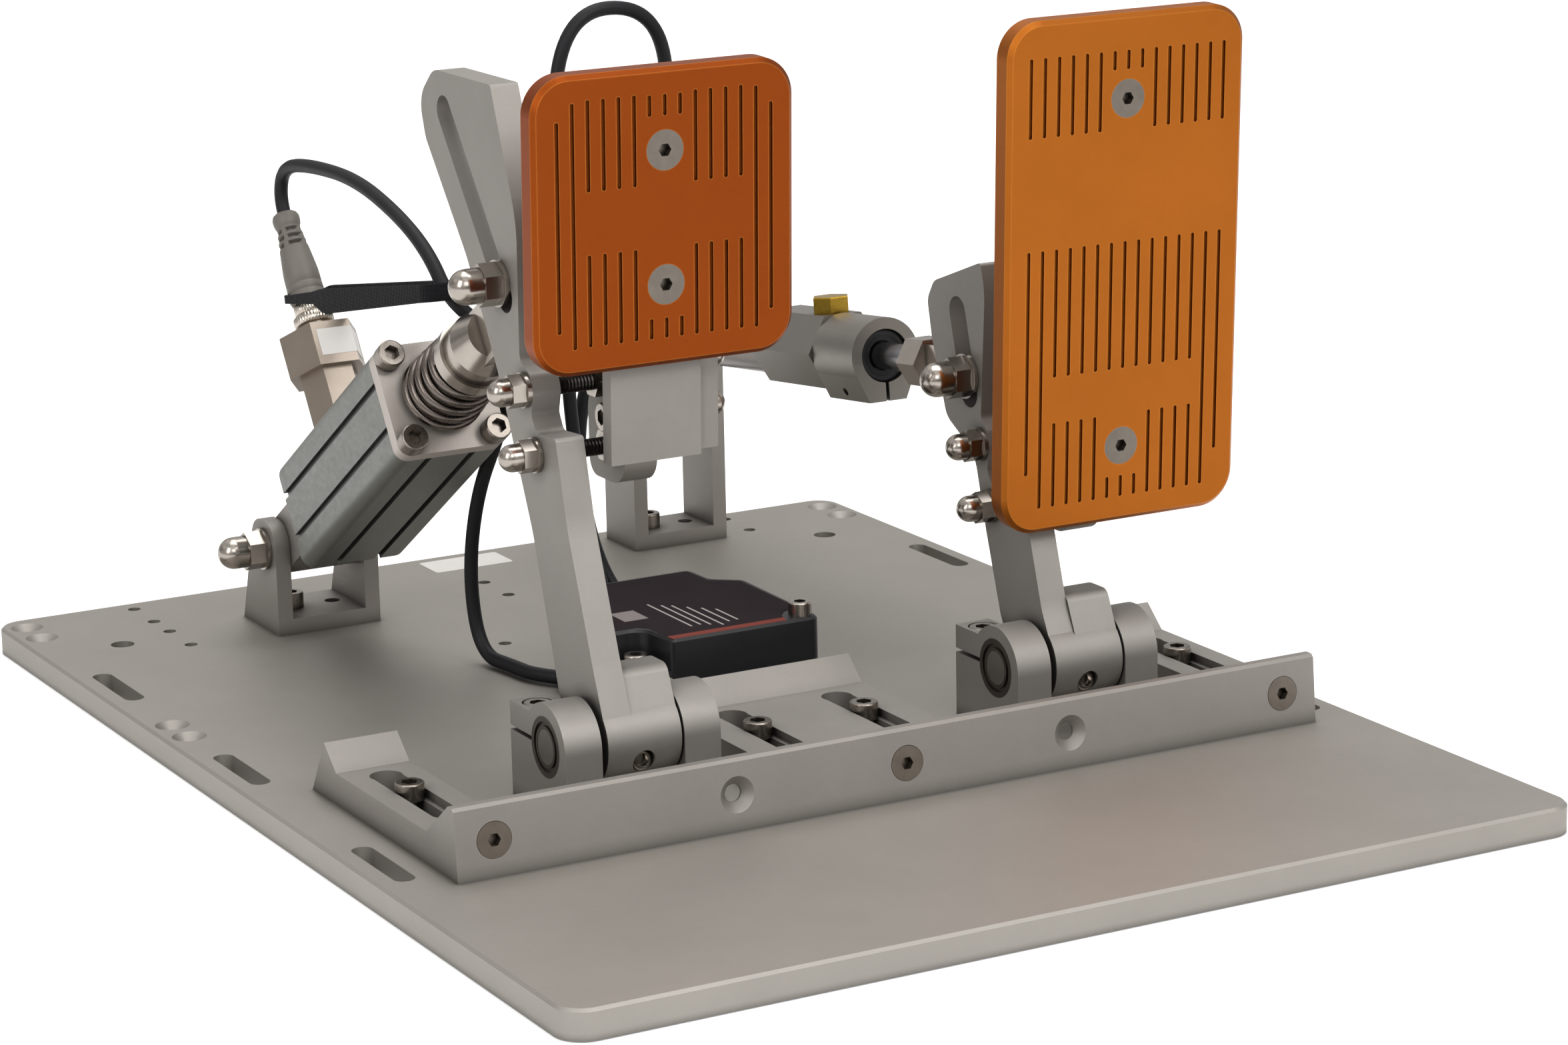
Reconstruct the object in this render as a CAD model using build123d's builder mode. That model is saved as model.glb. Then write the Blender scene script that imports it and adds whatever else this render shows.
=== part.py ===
from build123d import *
from math import atan2, cos, degrees, hypot, pi, radians, sin, tan
import os

os.makedirs("parts", exist_ok=True)

# Sim racing pedal set: base plate with a load type brake pedal and a damped throttle pedal.
# Millimetres, Z up, the driver sits on the side of minus Y, origin under the plate's middle.

# Base plate
plate_width = 370.0
plate_length = 504.0
plate_thickness = 10.0
plate_corner = 10.0
plate_edge = 1.0
plate_slot_inset = 9.9
plate_slot_x = plate_width / 2 - plate_slot_inset
plate_slot_width = 7.4
plate_slot_length = 40.0
plate_slot_pitch = 120.0
plate_slot_middle_y = 22.2
rear_hole_inset = 9.1
rear_hole_x = plate_width / 2 - rear_hole_inset
rear_hole_y = [239.5, 222.5, 85.4, 69.1]
rear_hole = 6.6
rear_hole_sink = 12.4
spare_hole_inset = 32.0
spare_hole_x = plate_width / 2 - spare_hole_inset
spare_hole_y = 196.6
spare_hole = 9.0
small_hole = 5.0
small_hole_inset = 54.0
small_hole_x = plate_width / 2 - small_hole_inset
small_hole_spots = [(-small_hole_x, 242.5), (-small_hole_x, 221.0), (-small_hole_x, 204.3),
                    (-small_hole_x, 182.0), (small_hole_x, 242.5), (small_hole_x, 221.0), (2.0, 204.3),
                    (2.0, 182.0), (-29.6, 118.3)]

# Fasteners
m6 = 6.0
m6_clear = 6.6
m6_head = 10.0
m6_head_height = 6.0
m6_socket = 5.0
m6_screw_length = 15.0
m6_sink_head = 12.0
m6_sink_socket = 4.0
m6_nut_across = 10.0
m6_nut_height = 5.0
m6_cap_height = 12.0
m6_washer = 12.0
m8 = 8.0
m8_head = 13.0
m8_head_height = 8.0
shoulder_diameter = 12.0
shoulder_head = 16.0
shoulder_head_height = 5.0
m8_socket = 6.0
m8_nut_across = 13.0
m8_nut_height = 6.5
m8_cap_height = 17.0
m8_washer = 16.0
washer_thickness = 1.6
socket_depth = 3.0
dome_share = 0.94
head_edge_share = 0.1

# Fits
running_fit = 0.05
push_rod_play = 0.15
rod_end_play = 0.7
side_fit = 0.1
overrun = 1.0

# Heel rail and carriers
rail_middle_x = 1.7
rail_length = 330.0
rail_outline = [(-129.5, 10.0), (-127.6, 33.2), (-126.4, 34.2), (-123.4, 34.2), (-125.4, 10.0)]
rail_spare_offset = 64.1
rail_hole_z = 22.2
rail_screw_length = 14.0
rail_sink = 12.4
carrier_outline = [(-125.4, 10.0), (-123.4, 34.2), (-105.7, 21.1), (-33.0, 21.1), (-23.6, 29.4),
                   (-11.8, 10.0)]
carrier_top = 21.1
outer_carrier_width = 26.7
outer_carrier_inset = 13.6
middle_carrier_width = 74.6
middle_slot_offset = 21.0
keyhole_round = 11.2
keyhole_width = 6.6
keyhole_head_width = 10.5
keyhole_ledge = 3.0
keyhole_back_y = -44.0
keyhole_front_y = -92.0
carrier_screw_y = -63.0

# Pedal hinges
hinge_y = -80.6
hinge_z = 33.5
brake_x = -78.6
pedal_pitch = 173.7
hub_width = 27.2
hub_radius = 14.6
# Boss on the hub, from its axis: the front edge follows the arm
boss_outline = [(-14.4, 1.0), (-4.6, 23.3), (11.5, 23.3), (14.4, -3.0)]
boss_radii = [0.0, 4.0, 7.0, 0.0]
left_gap = 2.5
right_gap = 0.8
block_width = 13.5
block_radius = 15.0
block_back = 26.6
block_shoulder = 9.7
slit_height = 0.5
slit_width = 1.5
clamp_screw_y = 19.2
clamp_bore = 10.6
shaft_diameter = 12.0
bearing_outer = 21.0
bearing_width = 5.0
bearing_groove_out = 17.2
bearing_groove_in = 14.4
bearing_groove_depth = 0.8
shaft_room = 14.0
slit_reach_share = 0.67
set_screw_hole = 8.0
set_screw_depth = 6.0
set_screw_z = -6.2

# Pedal arms, outlines given from the hinge axis
arm_thickness = 10.3
brake_arm_outline = [(-14.4, 1.0), (-4.3, 26.7), (11.3, 69.6), (18.0, 98.6), (32.6, 97.6), (35.8, 103.5),
                     (33.8, 111.0), (36.0, 117.0), (43.6, 121.0), (42.4, 167.1), (59.1, 211.0),
                     (104.5, 211.0), (117.0, 200.0), (112.8, 186.5), (82.6, 149.6), (61.2, 114.2),
                     (37.9, 63.0), (21.9, 12.0), (14.4, -3.0)]
brake_arm_radii = [0.0, 30.0, 60.0, 1.5, 3.0, 3.0, 4.0, 3.0, 4.0, 40.0, 1.5, 10.0, 10.0, 10.0, 60.0, 60.0,
                   60.0, 4.0, 0.0]
brake_slot_low = (53.1, 140.5)
brake_slot_high = (97.1, 197.5)
brake_pivot = (56.6, 144.7)
throttle_arm_outline = [(-14.4, 1.0), (-4.9, 19.8), (6.6, 57.6), (27.4, 57.2), (30.6, 63.0), (28.8, 70.6),
                        (31.0, 76.6), (34.6, 81.0), (31.2, 127.0), (34.2, 136.2), (66.0, 124.8),
                        (70.6, 117.5), (67.8, 104.5), (58.0, 77.0), (39.1, 67.0), (31.8, 40.8),
                        (22.4, 12.0), (14.4, -3.0)]
throttle_arm_radii = [0.0, 30.0, 1.5, 3.0, 3.0, 4.0, 3.0, 3.0, 30.0, 1.5, 6.0, 6.0, 20.0, 8.0, 14.0, 40.0,
                      4.0, 0.0]
throttle_slot_low = (42.3, 88.4)
throttle_slot_high = (50.0, 116.3)
throttle_pivot = (43.6, 94.2)
arm_slot_width = 10.8

# Pad holder, places given from the hinge axis of the brake
upper_stud = (40.0, 111.2)
lower_stud = (32.9, 90.4)
throttle_drop = (-4.8, -40.1)
stud_left = 8.4
stud_bare = 14.1
stud_in_bracket = 10.0
bracket_thickness = 12.2
bracket_front = 26.2
bracket_bottom = 76.5
bracket_nose = 9.5
bracket_back = 53.0
bracket_top = 128.0
lower_bolt = (31.1, 100.5)
tilt_slot_length = 8.1
bolt_pitch = 17.0
pad_rake = 2.2
block_plate_left = 14.5
block_plate_width = 33.3
block_plate_thickness = 6.0
block_plate_reach = 18.6
block_plate_below = 10.0
ear_thickness = 16.2
ear_behind = 11.5
ear_height = 39.0
ear_corner = 6.0
plate_above_screw = 10.0

# Pads
pad_width = 95.1
pad_thickness = 8.0
pad_corner = 13.0
pad_edge = 1.6
brake_pad_height = 98.5
brake_pad_middle = 173.9
brake_pad_screws = [22.2, -22.2]
throttle_pad_height = 178.3
throttle_pad_middle = 138.0
throttle_pad_screws = [60.0, -62.0]
groove_pitch = 5.55
groove_width = 1.4
groove_depth = 0.9
pad_sink_head = 13.4
pad_screw_length = 13.5
# Groove stretches, lower and upper end from the pad's middle, one list a column counted from the middle
brake_halves = [(-40.0, -9.6), (11.0, 41.0)]
brake_stubs = [(-40.0, -33.2), (33.5, 40.5)]
brake_grooves = [brake_stubs, brake_stubs, brake_halves, brake_halves, brake_halves, brake_halves,
                 [(-40.3, 40.3)], [(-34.6, 34.6)]]
throttle_thirds = [(-80.3, -50.5), (-34.4, 10.5), (49.3, 76.7)]
throttle_stubs = [(-80.3, -72.7), (-34.4, 10.5), (70.0, 76.7)]
throttle_grooves = [throttle_stubs, throttle_stubs, throttle_thirds, throttle_thirds, throttle_thirds,
                    throttle_thirds, [(-80.3, 10.5), (49.3, 76.7)], [(-68.0, 10.5), (49.3, 76.7)]]

# Brake cylinder, places given along its axis from the rear pivot
cylinder_x = -77.2
cylinder_pivot = (185.0, 42.3)
body_size = 42.0
body_corner = 5.0
body_start = 33.0
body_end = 141.0
groove_offset = 8.5
body_groove_width = 2.6
body_groove_depth = 1.6
front_plate_end = 146.4
plate_screw_spot = 16.2
rod_diameter = 12.0
rod_inner_end = 60.0
spring_length = 33.6
cap_start = front_plate_end + spring_length
cap_collar_end = 186.0
cap_cone_start = 193.0
cap_body_end = 202.0
cap_collar_radius = 14.0
cap_body_radius = 12.5
tongue_thickness = 9.2
tongue_width = 20.0
spring_turns = 5.5
spring_steps = 22
spring_wire = 3.5
spring_low_radius = 13.7
spring_high_radius = 11.9
spring_seat = 0.02
clevis_width = 29.6
clevis_radius = 10.5

# Pressure sensor on the cylinder, heights from the cylinder's axis
sensor_station = 55.3
sensor_neck_across = 20.0
sensor_neck_top = 46.0
sensor_across = 27.0
sensor_top = 63.0
sensor_thread_radius = 6.0
sensor_thread_top = 76.0
coupling_low = 66.5
coupling_high = 76.0
coupling_radius = 7.5
coupling_edge = 0.8
plug_steps = [(76.0, 6.6), (77.5, 7.0), (88.0, 6.8), (103.0, 4.4), (107.0, 4.2)]
plug_collar_top = 113.0
plug_collar_radius = 4.9

# Rear brackets
bracket_crown_share = 0.95
bracket_crown_radius_share = 0.45
tall_crown_radius_share = 0.98
bracket_width = 42.0
bracket_base = 6.0
bracket_ear = 6.0
bracket_cut = 150.0
bracket_hole_offset = 8.6
brake_bracket_front = 174.0
brake_bracket_back = 209.5
throttle_bracket_front = 214.8
throttle_bracket_back = 241.2

# Throttle damper, places given along its axis from the arm pivot
damper_x = 96.0
damper_pivot = (228.0, 99.0)
rod_end_thickness = 8.2
rod_end_radius = 9.0
rod_end_neck = 14.0
rod_hex_start = 46.0
rod_hex_end = 58.6
rod_hex_across = 17.0
throttle_rod_diameter = 10.0
throttle_rod_end = 200.0
collar_start = 83.0
collar_end = 113.4
collar_radius = 14.3
collar_bore = 20.0
collar_lug = 17.0
collar_lug_width = 15.6
collar_slit = 1.4
collar_slit_share = 0.67
collar_screw_hole = 3.0
collar_screw_drop = 13.5
lug_root_across_share = 0.94
lug_root_share = 0.34
gland_nose_start = 87.5
gland_end = 160.6
gland_across = 27.6
tube_diameter = 25.0
tube_end = 247.0
tube_bore = 19.0
eye_width = 29.6
eye_radius = 12.0
brass_station = 122.0
brass_across = 13.0
brass_height = 6.5
brass_shank = 6.0
brass_shank_depth = 5.0

# Control box
box_outline = [(-24.0, -9.5), (36.0, -9.5), (37.0, 50.0), (27.0, 58.0), (26.5, 74.0), (-30.5, 74.0),
               (-31.0, 58.0), (-41.0, 50.0), (-41.0, -5.5), (-26.0, -5.5)]
box_radii = [2.0, 4.0, 5.0, 5.0, 4.0, 4.0, 5.0, 5.0, 5.0, 1.5]
lid_outline = [(-24.0, -9.5), (36.0, -9.5), (37.0, 50.0), (27.0, 58.0), (26.5, 74.0), (-30.5, 74.0),
               (-31.0, 58.0), (-41.0, 50.0), (-41.0, 10.0), (-26.0, 10.0)]
lid_radii = [2.0, 4.0, 5.0, 5.0, 4.0, 4.0, 5.0, 5.0, 4.0, 6.0]
box_joint = 29.0
box_top = 40.5
box_edge = 1.0
box_screw_spots = [(30.5, -4.0, box_top), (-32.5, 2.5, box_joint)]
box_screw_head = 8.5
box_screw_head_height = 5.0
box_screw = 5.0
box_screw_length = 18.0
box_socket = 4.0

# Cables and strap
cable_diameter = 5.2
cable_largest_radius = 60.0
cable_exit = 7.5
cable_rest_z = 13.1
cable_wall_run = 12.0
cable_wall_gap = 0.35
cable_bend_share = 0.45
sensor_route_middle = [(-77.2, 198.5, 186.0), (-77.2, 172.0, 189.8), (-77.2, 130.0, 190.5),
                       (-77.2, 92.0, 182.5), (-77.2, 67.0, 172.5), (-77.2, 51.5, 158.5), (-64.0, 48.0, 146.5),
                       (-52.5, 52.0, 128.0), (-51.0, 70.0, 104.0), (-51.0, 92.0, 76.0), (-50.0, 104.0, 42.0),
                       (-48.5, 99.0, 13.1), (-45.0, 78.0, 13.1)]
wall_spot = (-36.0, 54.0, cable_rest_z)
wall_way = (-8.0, 10.0, 0.0)
loop_route = [(3.5, 74.0, 17.0), (3.5, 94.0, 17.0), (-4.2, 94.0, 90.0), (-11.0, 94.0, 170.0),
              (-13.2, 94.0, 249.5), (33.5, 97.0, 249.5), (37.0, 101.0, 195.0), (29.0, 105.0, 150.0),
              (1.0, 105.0, 100.0), (9.5, 105.0, 24.5), (9.5, 74.0, 24.5)]
strap_thickness = 1.2
strap_height = 10.0
strap_big_radius = 9.7
strap_small_radius = 8.8
strap_sensor_spot = (180.5, 137.0)
strap_cable_spot = (54.5, 159.5)


def piece(part, label):
    part.label = label
    export_step(part, "parts/" + label + ".step")


def at(solid, origin, axis):
    return solid.moved(Plane(origin=origin, z_dir=axis).location)


def group(solids, label):
    with BuildPart() as gathered:
        for solid in solids:
            add(solid)
    piece(gathered.part, label)


# Fastener shapes: the seat is at height zero, the head looks up, the shank points down

def socket_screw(diameter, head, head_height, socket, length):
    with BuildPart() as screw:
        with BuildSketch():
            Circle(head / 2)
        extrude(amount=head_height)
        fillet(screw.edges().sort_by(Axis.Z)[-1], head_height * head_edge_share)
        with BuildSketch(Plane.XY.offset(head_height)):
            RegularPolygon(socket / 2, 6, major_radius=False)
        extrude(amount=-socket_depth, mode=Mode.SUBTRACT)
        with BuildSketch():
            Circle(diameter / 2)
        extrude(amount=-length)
    return screw.part


def sink_screw(diameter, head, socket, length):
    with BuildPart() as screw:
        with BuildSketch(Plane.XZ):
            with BuildLine():
                Polyline((0, 0), (head / 2, 0), (diameter / 2, (diameter - head) / 2),
                         (diameter / 2, -length), (0, -length), close=True)
            make_face()
        revolve(axis=Axis.Z)
        with BuildSketch():
            RegularPolygon(socket / 2, 6, major_radius=False)
        extrude(amount=-socket_depth, mode=Mode.SUBTRACT)
    return screw.part


def cap_nut(diameter, across, hex_height, height):
    dome = across / 2 * dome_share
    with BuildPart() as nut:
        with BuildSketch():
            RegularPolygon(across / 2, 6, major_radius=False)
        extrude(amount=hex_height)
        with BuildSketch(Plane.XZ):
            with BuildLine():
                Polyline((0, 0), (dome, 0), (dome, height - dome))
                RadiusArc((dome, height - dome), (0, height), -dome)
                Line((0, height), (0, 0))
            make_face()
        revolve(axis=Axis.Z)
        with BuildSketch():
            Circle(diameter / 2)
        extrude(amount=height - across / 2, mode=Mode.SUBTRACT)
    return nut.part


def hex_nut(diameter, across, height):
    with BuildPart() as nut:
        with BuildSketch():
            RegularPolygon(across / 2, 6, major_radius=False, rotation=30)
            Circle(diameter / 2, mode=Mode.SUBTRACT)
        extrude(amount=height)
    return nut.part


def washer(diameter, outer):
    with BuildPart() as ring:
        with BuildSketch():
            Circle(outer / 2)
            Circle(diameter / 2, mode=Mode.SUBTRACT)
        extrude(amount=washer_thickness)
    return ring.part


def rod(diameter, length):
    with BuildPart() as bar:
        with BuildSketch():
            Circle(diameter / 2)
        extrude(amount=length)
    return bar.part


m6_screw = socket_screw(m6, m6_head, m6_head_height, m6_socket, m6_screw_length)
m6_cap = cap_nut(m6, m6_nut_across, m6_nut_height, m6_cap_height)
m8_cap = cap_nut(m8, m8_nut_across, m8_nut_height, m8_cap_height)


# Places shared by neighbours

def hinge_spot(spot):
    return hinge_y + spot[0], hinge_z + spot[1]


brake_bracket_y = (brake_bracket_front + brake_bracket_back) / 2
throttle_bracket_y = (throttle_bracket_front + throttle_bracket_back) / 2
outer_carrier_offset = rail_length / 2 - outer_carrier_inset
left_carrier_x = rail_middle_x - outer_carrier_offset
right_carrier_x = rail_middle_x + outer_carrier_offset
rail_screw_x = [left_carrier_x, rail_middle_x, right_carrier_x]
rail_spare_x = [rail_middle_x - rail_spare_offset, rail_middle_x + rail_spare_offset]
middle_slot_x = [rail_middle_x - middle_slot_offset, rail_middle_x + middle_slot_offset]
carrier_screw_x = [left_carrier_x, *middle_slot_x, right_carrier_x]
bracket_screw_spots = [(cylinder_x - bracket_hole_offset, brake_bracket_y),
                       (damper_x - bracket_hole_offset, throttle_bracket_y)]


# Base plate

with BuildPart() as base_plate:
    with BuildSketch():
        RectangleRounded(plate_width, plate_length, plate_corner)
    extrude(amount=plate_thickness)
    chamfer(base_plate.faces().sort_by(Axis.Z)[-1].edges(), plate_edge)
    with BuildSketch():
        with Locations((0, plate_slot_middle_y)):
            with GridLocations(2 * plate_slot_x, plate_slot_pitch, 2, 3):
                SlotOverall(plate_slot_length, plate_slot_width, rotation=90)
        with Locations(*small_hole_spots):
            Circle(small_hole / 2)
        with Locations((-spare_hole_x, spare_hole_y), (spare_hole_x, spare_hole_y)):
            Circle(spare_hole / 2)
        with Locations(*[(x, carrier_screw_y) for x in carrier_screw_x], *bracket_screw_spots):
            Circle(m6 / 2)
    extrude(amount=plate_thickness, mode=Mode.SUBTRACT)
    for side in (-1, 1):
        with Locations(*[(side * rear_hole_x, y, plate_thickness) for y in rear_hole_y]):
            CounterSinkHole(rear_hole / 2, rear_hole_sink / 2, depth=plate_thickness)
piece(base_plate.part, "base_plate")


# Heel rail

rail_foot = rail_outline[0]
rail_brow = rail_outline[1]
rail_lean = atan2(rail_brow[0] - rail_foot[0], rail_brow[1] - rail_foot[1])
rail_face_y = rail_foot[0] + (rail_hole_z - rail_foot[1]) * tan(rail_lean)
rail_axis = (0, -cos(rail_lean), sin(rail_lean))


def rail_planes(spots):
    return [Plane(origin=(x, rail_face_y, rail_hole_z), x_dir=(1, 0, 0), z_dir=rail_axis) for x in spots]


with BuildPart() as heel_rail:
    with BuildSketch(Plane.YZ.offset(rail_middle_x - rail_length / 2)):
        with BuildLine():
            Polyline(*rail_outline, close=True)
        make_face()
    extrude(amount=rail_length)
    with Locations(*rail_planes(rail_screw_x + rail_spare_x)):
        CounterSinkHole(m6 / 2, rail_sink / 2, depth=rail_screw_length, counter_sink_angle=90)
piece(heel_rail.part, "heel_rail")

rail_screw = sink_screw(m6, m6_sink_head, m6_sink_socket, rail_screw_length)
group([rail_screw.moved(plane.location) for plane in rail_planes(rail_screw_x)], "rail_screws")


# Carriers behind the rail: the screw heads sink into stepped slots and pass through the round end

carrier_seat = carrier_top - keyhole_ledge


def carrier(middle_x, width, slots, label):
    with BuildPart() as block:
        with BuildSketch(Plane.YZ.offset(middle_x - width / 2)):
            with BuildLine():
                Polyline(*carrier_outline, close=True)
            make_face()
        extrude(amount=width)
        with BuildSketch(Plane.XY.offset(plate_thickness)):
            for x in slots:
                with Locations((x, keyhole_back_y)):
                    Circle(keyhole_round / 2)
                with Locations((x, (keyhole_back_y + keyhole_front_y) / 2)):
                    SlotCenterToCenter(keyhole_back_y - keyhole_front_y, keyhole_width, rotation=90)
        extrude(amount=carrier_top, mode=Mode.SUBTRACT)
        with BuildSketch(Plane.XY.offset(carrier_seat)):
            with Locations(*[(x, (keyhole_back_y + keyhole_front_y) / 2) for x in slots]):
                SlotCenterToCenter(keyhole_back_y - keyhole_front_y, keyhole_head_width, rotation=90)
        extrude(amount=keyhole_ledge, mode=Mode.SUBTRACT)
        with Locations(*rail_planes([middle_x])):
            Hole(m6 / 2, depth=rail_screw_length)
    piece(block.part, label)


carrier(left_carrier_x, outer_carrier_width, [left_carrier_x], "carrier_left")
carrier(rail_middle_x, middle_carrier_width, middle_slot_x, "carrier_middle")
carrier(right_carrier_x, outer_carrier_width, [right_carrier_x], "carrier_right")


# Hinge blocks: split pillow blocks, one bearing each in the outer face

def hub_left(offset):
    return brake_x + offset - hub_width / 2


def left_block_x(offset):
    return hub_left(offset) - left_gap - block_width


def right_block_x(offset):
    return hub_left(offset) + hub_width + right_gap


def bearing_spots(offset):
    return left_block_x(offset), right_block_x(offset) + block_width - bearing_width


shoulder_z = hinge_z + block_shoulder
slit_length = 2 * block_back - slit_reach_share * shaft_room


def hinge_block(left_x, bearing_x, label):
    with BuildPart() as block:
        with BuildSketch(Plane.YZ.offset(left_x)):
            with Locations((hinge_y, hinge_z)):
                Circle(block_radius)
            with BuildLine():
                Polyline((hinge_y - block_radius, plate_thickness), (hinge_y - block_radius, hinge_z),
                         (hinge_y, hinge_z), (hinge_y, shoulder_z), (hinge_y + block_back, shoulder_z),
                         (hinge_y + block_back, plate_thickness), close=True)
            make_face()
            with Locations((hinge_y, hinge_z)):
                Circle(shaft_room / 2, mode=Mode.SUBTRACT)
            with Locations((hinge_y + block_back, hinge_z + slit_height)):
                Rectangle(slit_length, slit_width, mode=Mode.SUBTRACT)
        extrude(amount=block_width)
        with BuildSketch(Plane.YZ.offset(bearing_x)):
            with Locations((hinge_y, hinge_z)):
                Circle(bearing_outer / 2)
        extrude(amount=bearing_width, mode=Mode.SUBTRACT)
        with Locations((left_x + block_width / 2, hinge_y + clamp_screw_y, shoulder_z)):
            CounterBoreHole(m6 / 2, clamp_bore / 2, m6_head_height, depth=m6_head_height + m6_screw_length)
    piece(block.part, label)


hinge_block(left_block_x(0), bearing_spots(0)[0], "brake_hinge_block_left")
hinge_block(right_block_x(0), bearing_spots(0)[1], "brake_hinge_block_right")
hinge_block(left_block_x(pedal_pitch), bearing_spots(pedal_pitch)[0], "throttle_hinge_block_left")
hinge_block(right_block_x(pedal_pitch), bearing_spots(pedal_pitch)[1], "throttle_hinge_block_right")


def bearing(left_x):
    with BuildPart() as ring:
        with BuildSketch(Plane.YZ.offset(left_x)):
            with Locations((hinge_y, hinge_z)):
                Circle(bearing_outer / 2)
                Circle(shaft_diameter / 2 + running_fit, mode=Mode.SUBTRACT)
        extrude(amount=bearing_width)
        for depth in (0, bearing_width - bearing_groove_depth):
            with BuildSketch(Plane.YZ.offset(left_x + depth)):
                with Locations((hinge_y, hinge_z)):
                    Circle(bearing_groove_out / 2)
                    Circle(bearing_groove_in / 2, mode=Mode.SUBTRACT)
            extrude(amount=bearing_groove_depth, mode=Mode.SUBTRACT)
    return ring.part


group([bearing(x) for offset in (0, pedal_pitch) for x in bearing_spots(offset)], "hinge_bearings")


# Pedal arms: hub, arm plate and slotted head are one milled piece

def stud_spots(drop):
    return [hinge_spot((spot[0] + drop[0], spot[1] + drop[1])) for spot in (upper_stud, lower_stud)]


def pedal_arm(offset, outline, radii, slot_low, slot_high, drop, label):
    left_x = hub_left(offset)
    slot_turn = degrees(atan2(slot_high[1] - slot_low[1], slot_high[0] - slot_low[0]))
    slot_run = hypot(slot_high[0] - slot_low[0], slot_high[1] - slot_low[1])
    slot_middle = hinge_spot(((slot_low[0] + slot_high[0]) / 2, (slot_low[1] + slot_high[1]) / 2))
    with BuildPart() as arm:
        with BuildSketch(Plane.YZ.offset(left_x)):
            with BuildLine():
                FilletPolyline(*[hinge_spot(spot) for spot in outline], radius=radii, close=True)
            make_face()
            with Locations((hinge_y, hinge_z)):
                Circle(hub_radius)
        extrude(amount=arm_thickness)
        with BuildSketch(Plane.YZ.offset(left_x + arm_thickness)):
            with Locations((hinge_y, hinge_z)):
                Circle(hub_radius)
            with BuildLine():
                FilletPolyline(*[hinge_spot(spot) for spot in boss_outline], radius=boss_radii, close=True)
            make_face()
        extrude(amount=hub_width - arm_thickness)
        with BuildSketch(Plane.YZ.offset(left_x)):
            with Locations(slot_middle):
                SlotCenterToCenter(slot_run, arm_slot_width, rotation=slot_turn)
            with Locations(*stud_spots(drop)):
                Circle(m6 / 2)
        extrude(amount=arm_thickness, mode=Mode.SUBTRACT)
        with BuildSketch(Plane.YZ.offset(left_x)):
            with Locations((hinge_y, hinge_z)):
                Circle(shaft_diameter / 2)
        extrude(amount=hub_width, mode=Mode.SUBTRACT)
        with BuildSketch(Plane.XZ.offset(hub_radius - hinge_y - set_screw_depth)):
            with Locations((brake_x + offset, hinge_z + set_screw_z)):
                Circle(set_screw_hole / 2)
        extrude(amount=set_screw_depth + overrun, mode=Mode.SUBTRACT)
    piece(arm.part, label)


pedal_arm(0, brake_arm_outline, brake_arm_radii, brake_slot_low, brake_slot_high, (0, 0), "brake_pedal_arm")
pedal_arm(pedal_pitch, throttle_arm_outline, throttle_arm_radii, throttle_slot_low, throttle_slot_high,
          throttle_drop, "throttle_pedal_arm")


# Pad holder, pad and their fasteners, the same for both pedals apart from the pad

def pad_grooves(grooves):
    for column, stretches in enumerate(grooves):
        for side in ((-1, 1) if column else (0,)):
            for low, high in stretches:
                with Locations((side * column * groove_pitch, (low + high) / 2)):
                    SlotOverall(high - low, groove_width, rotation=90)


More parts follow.
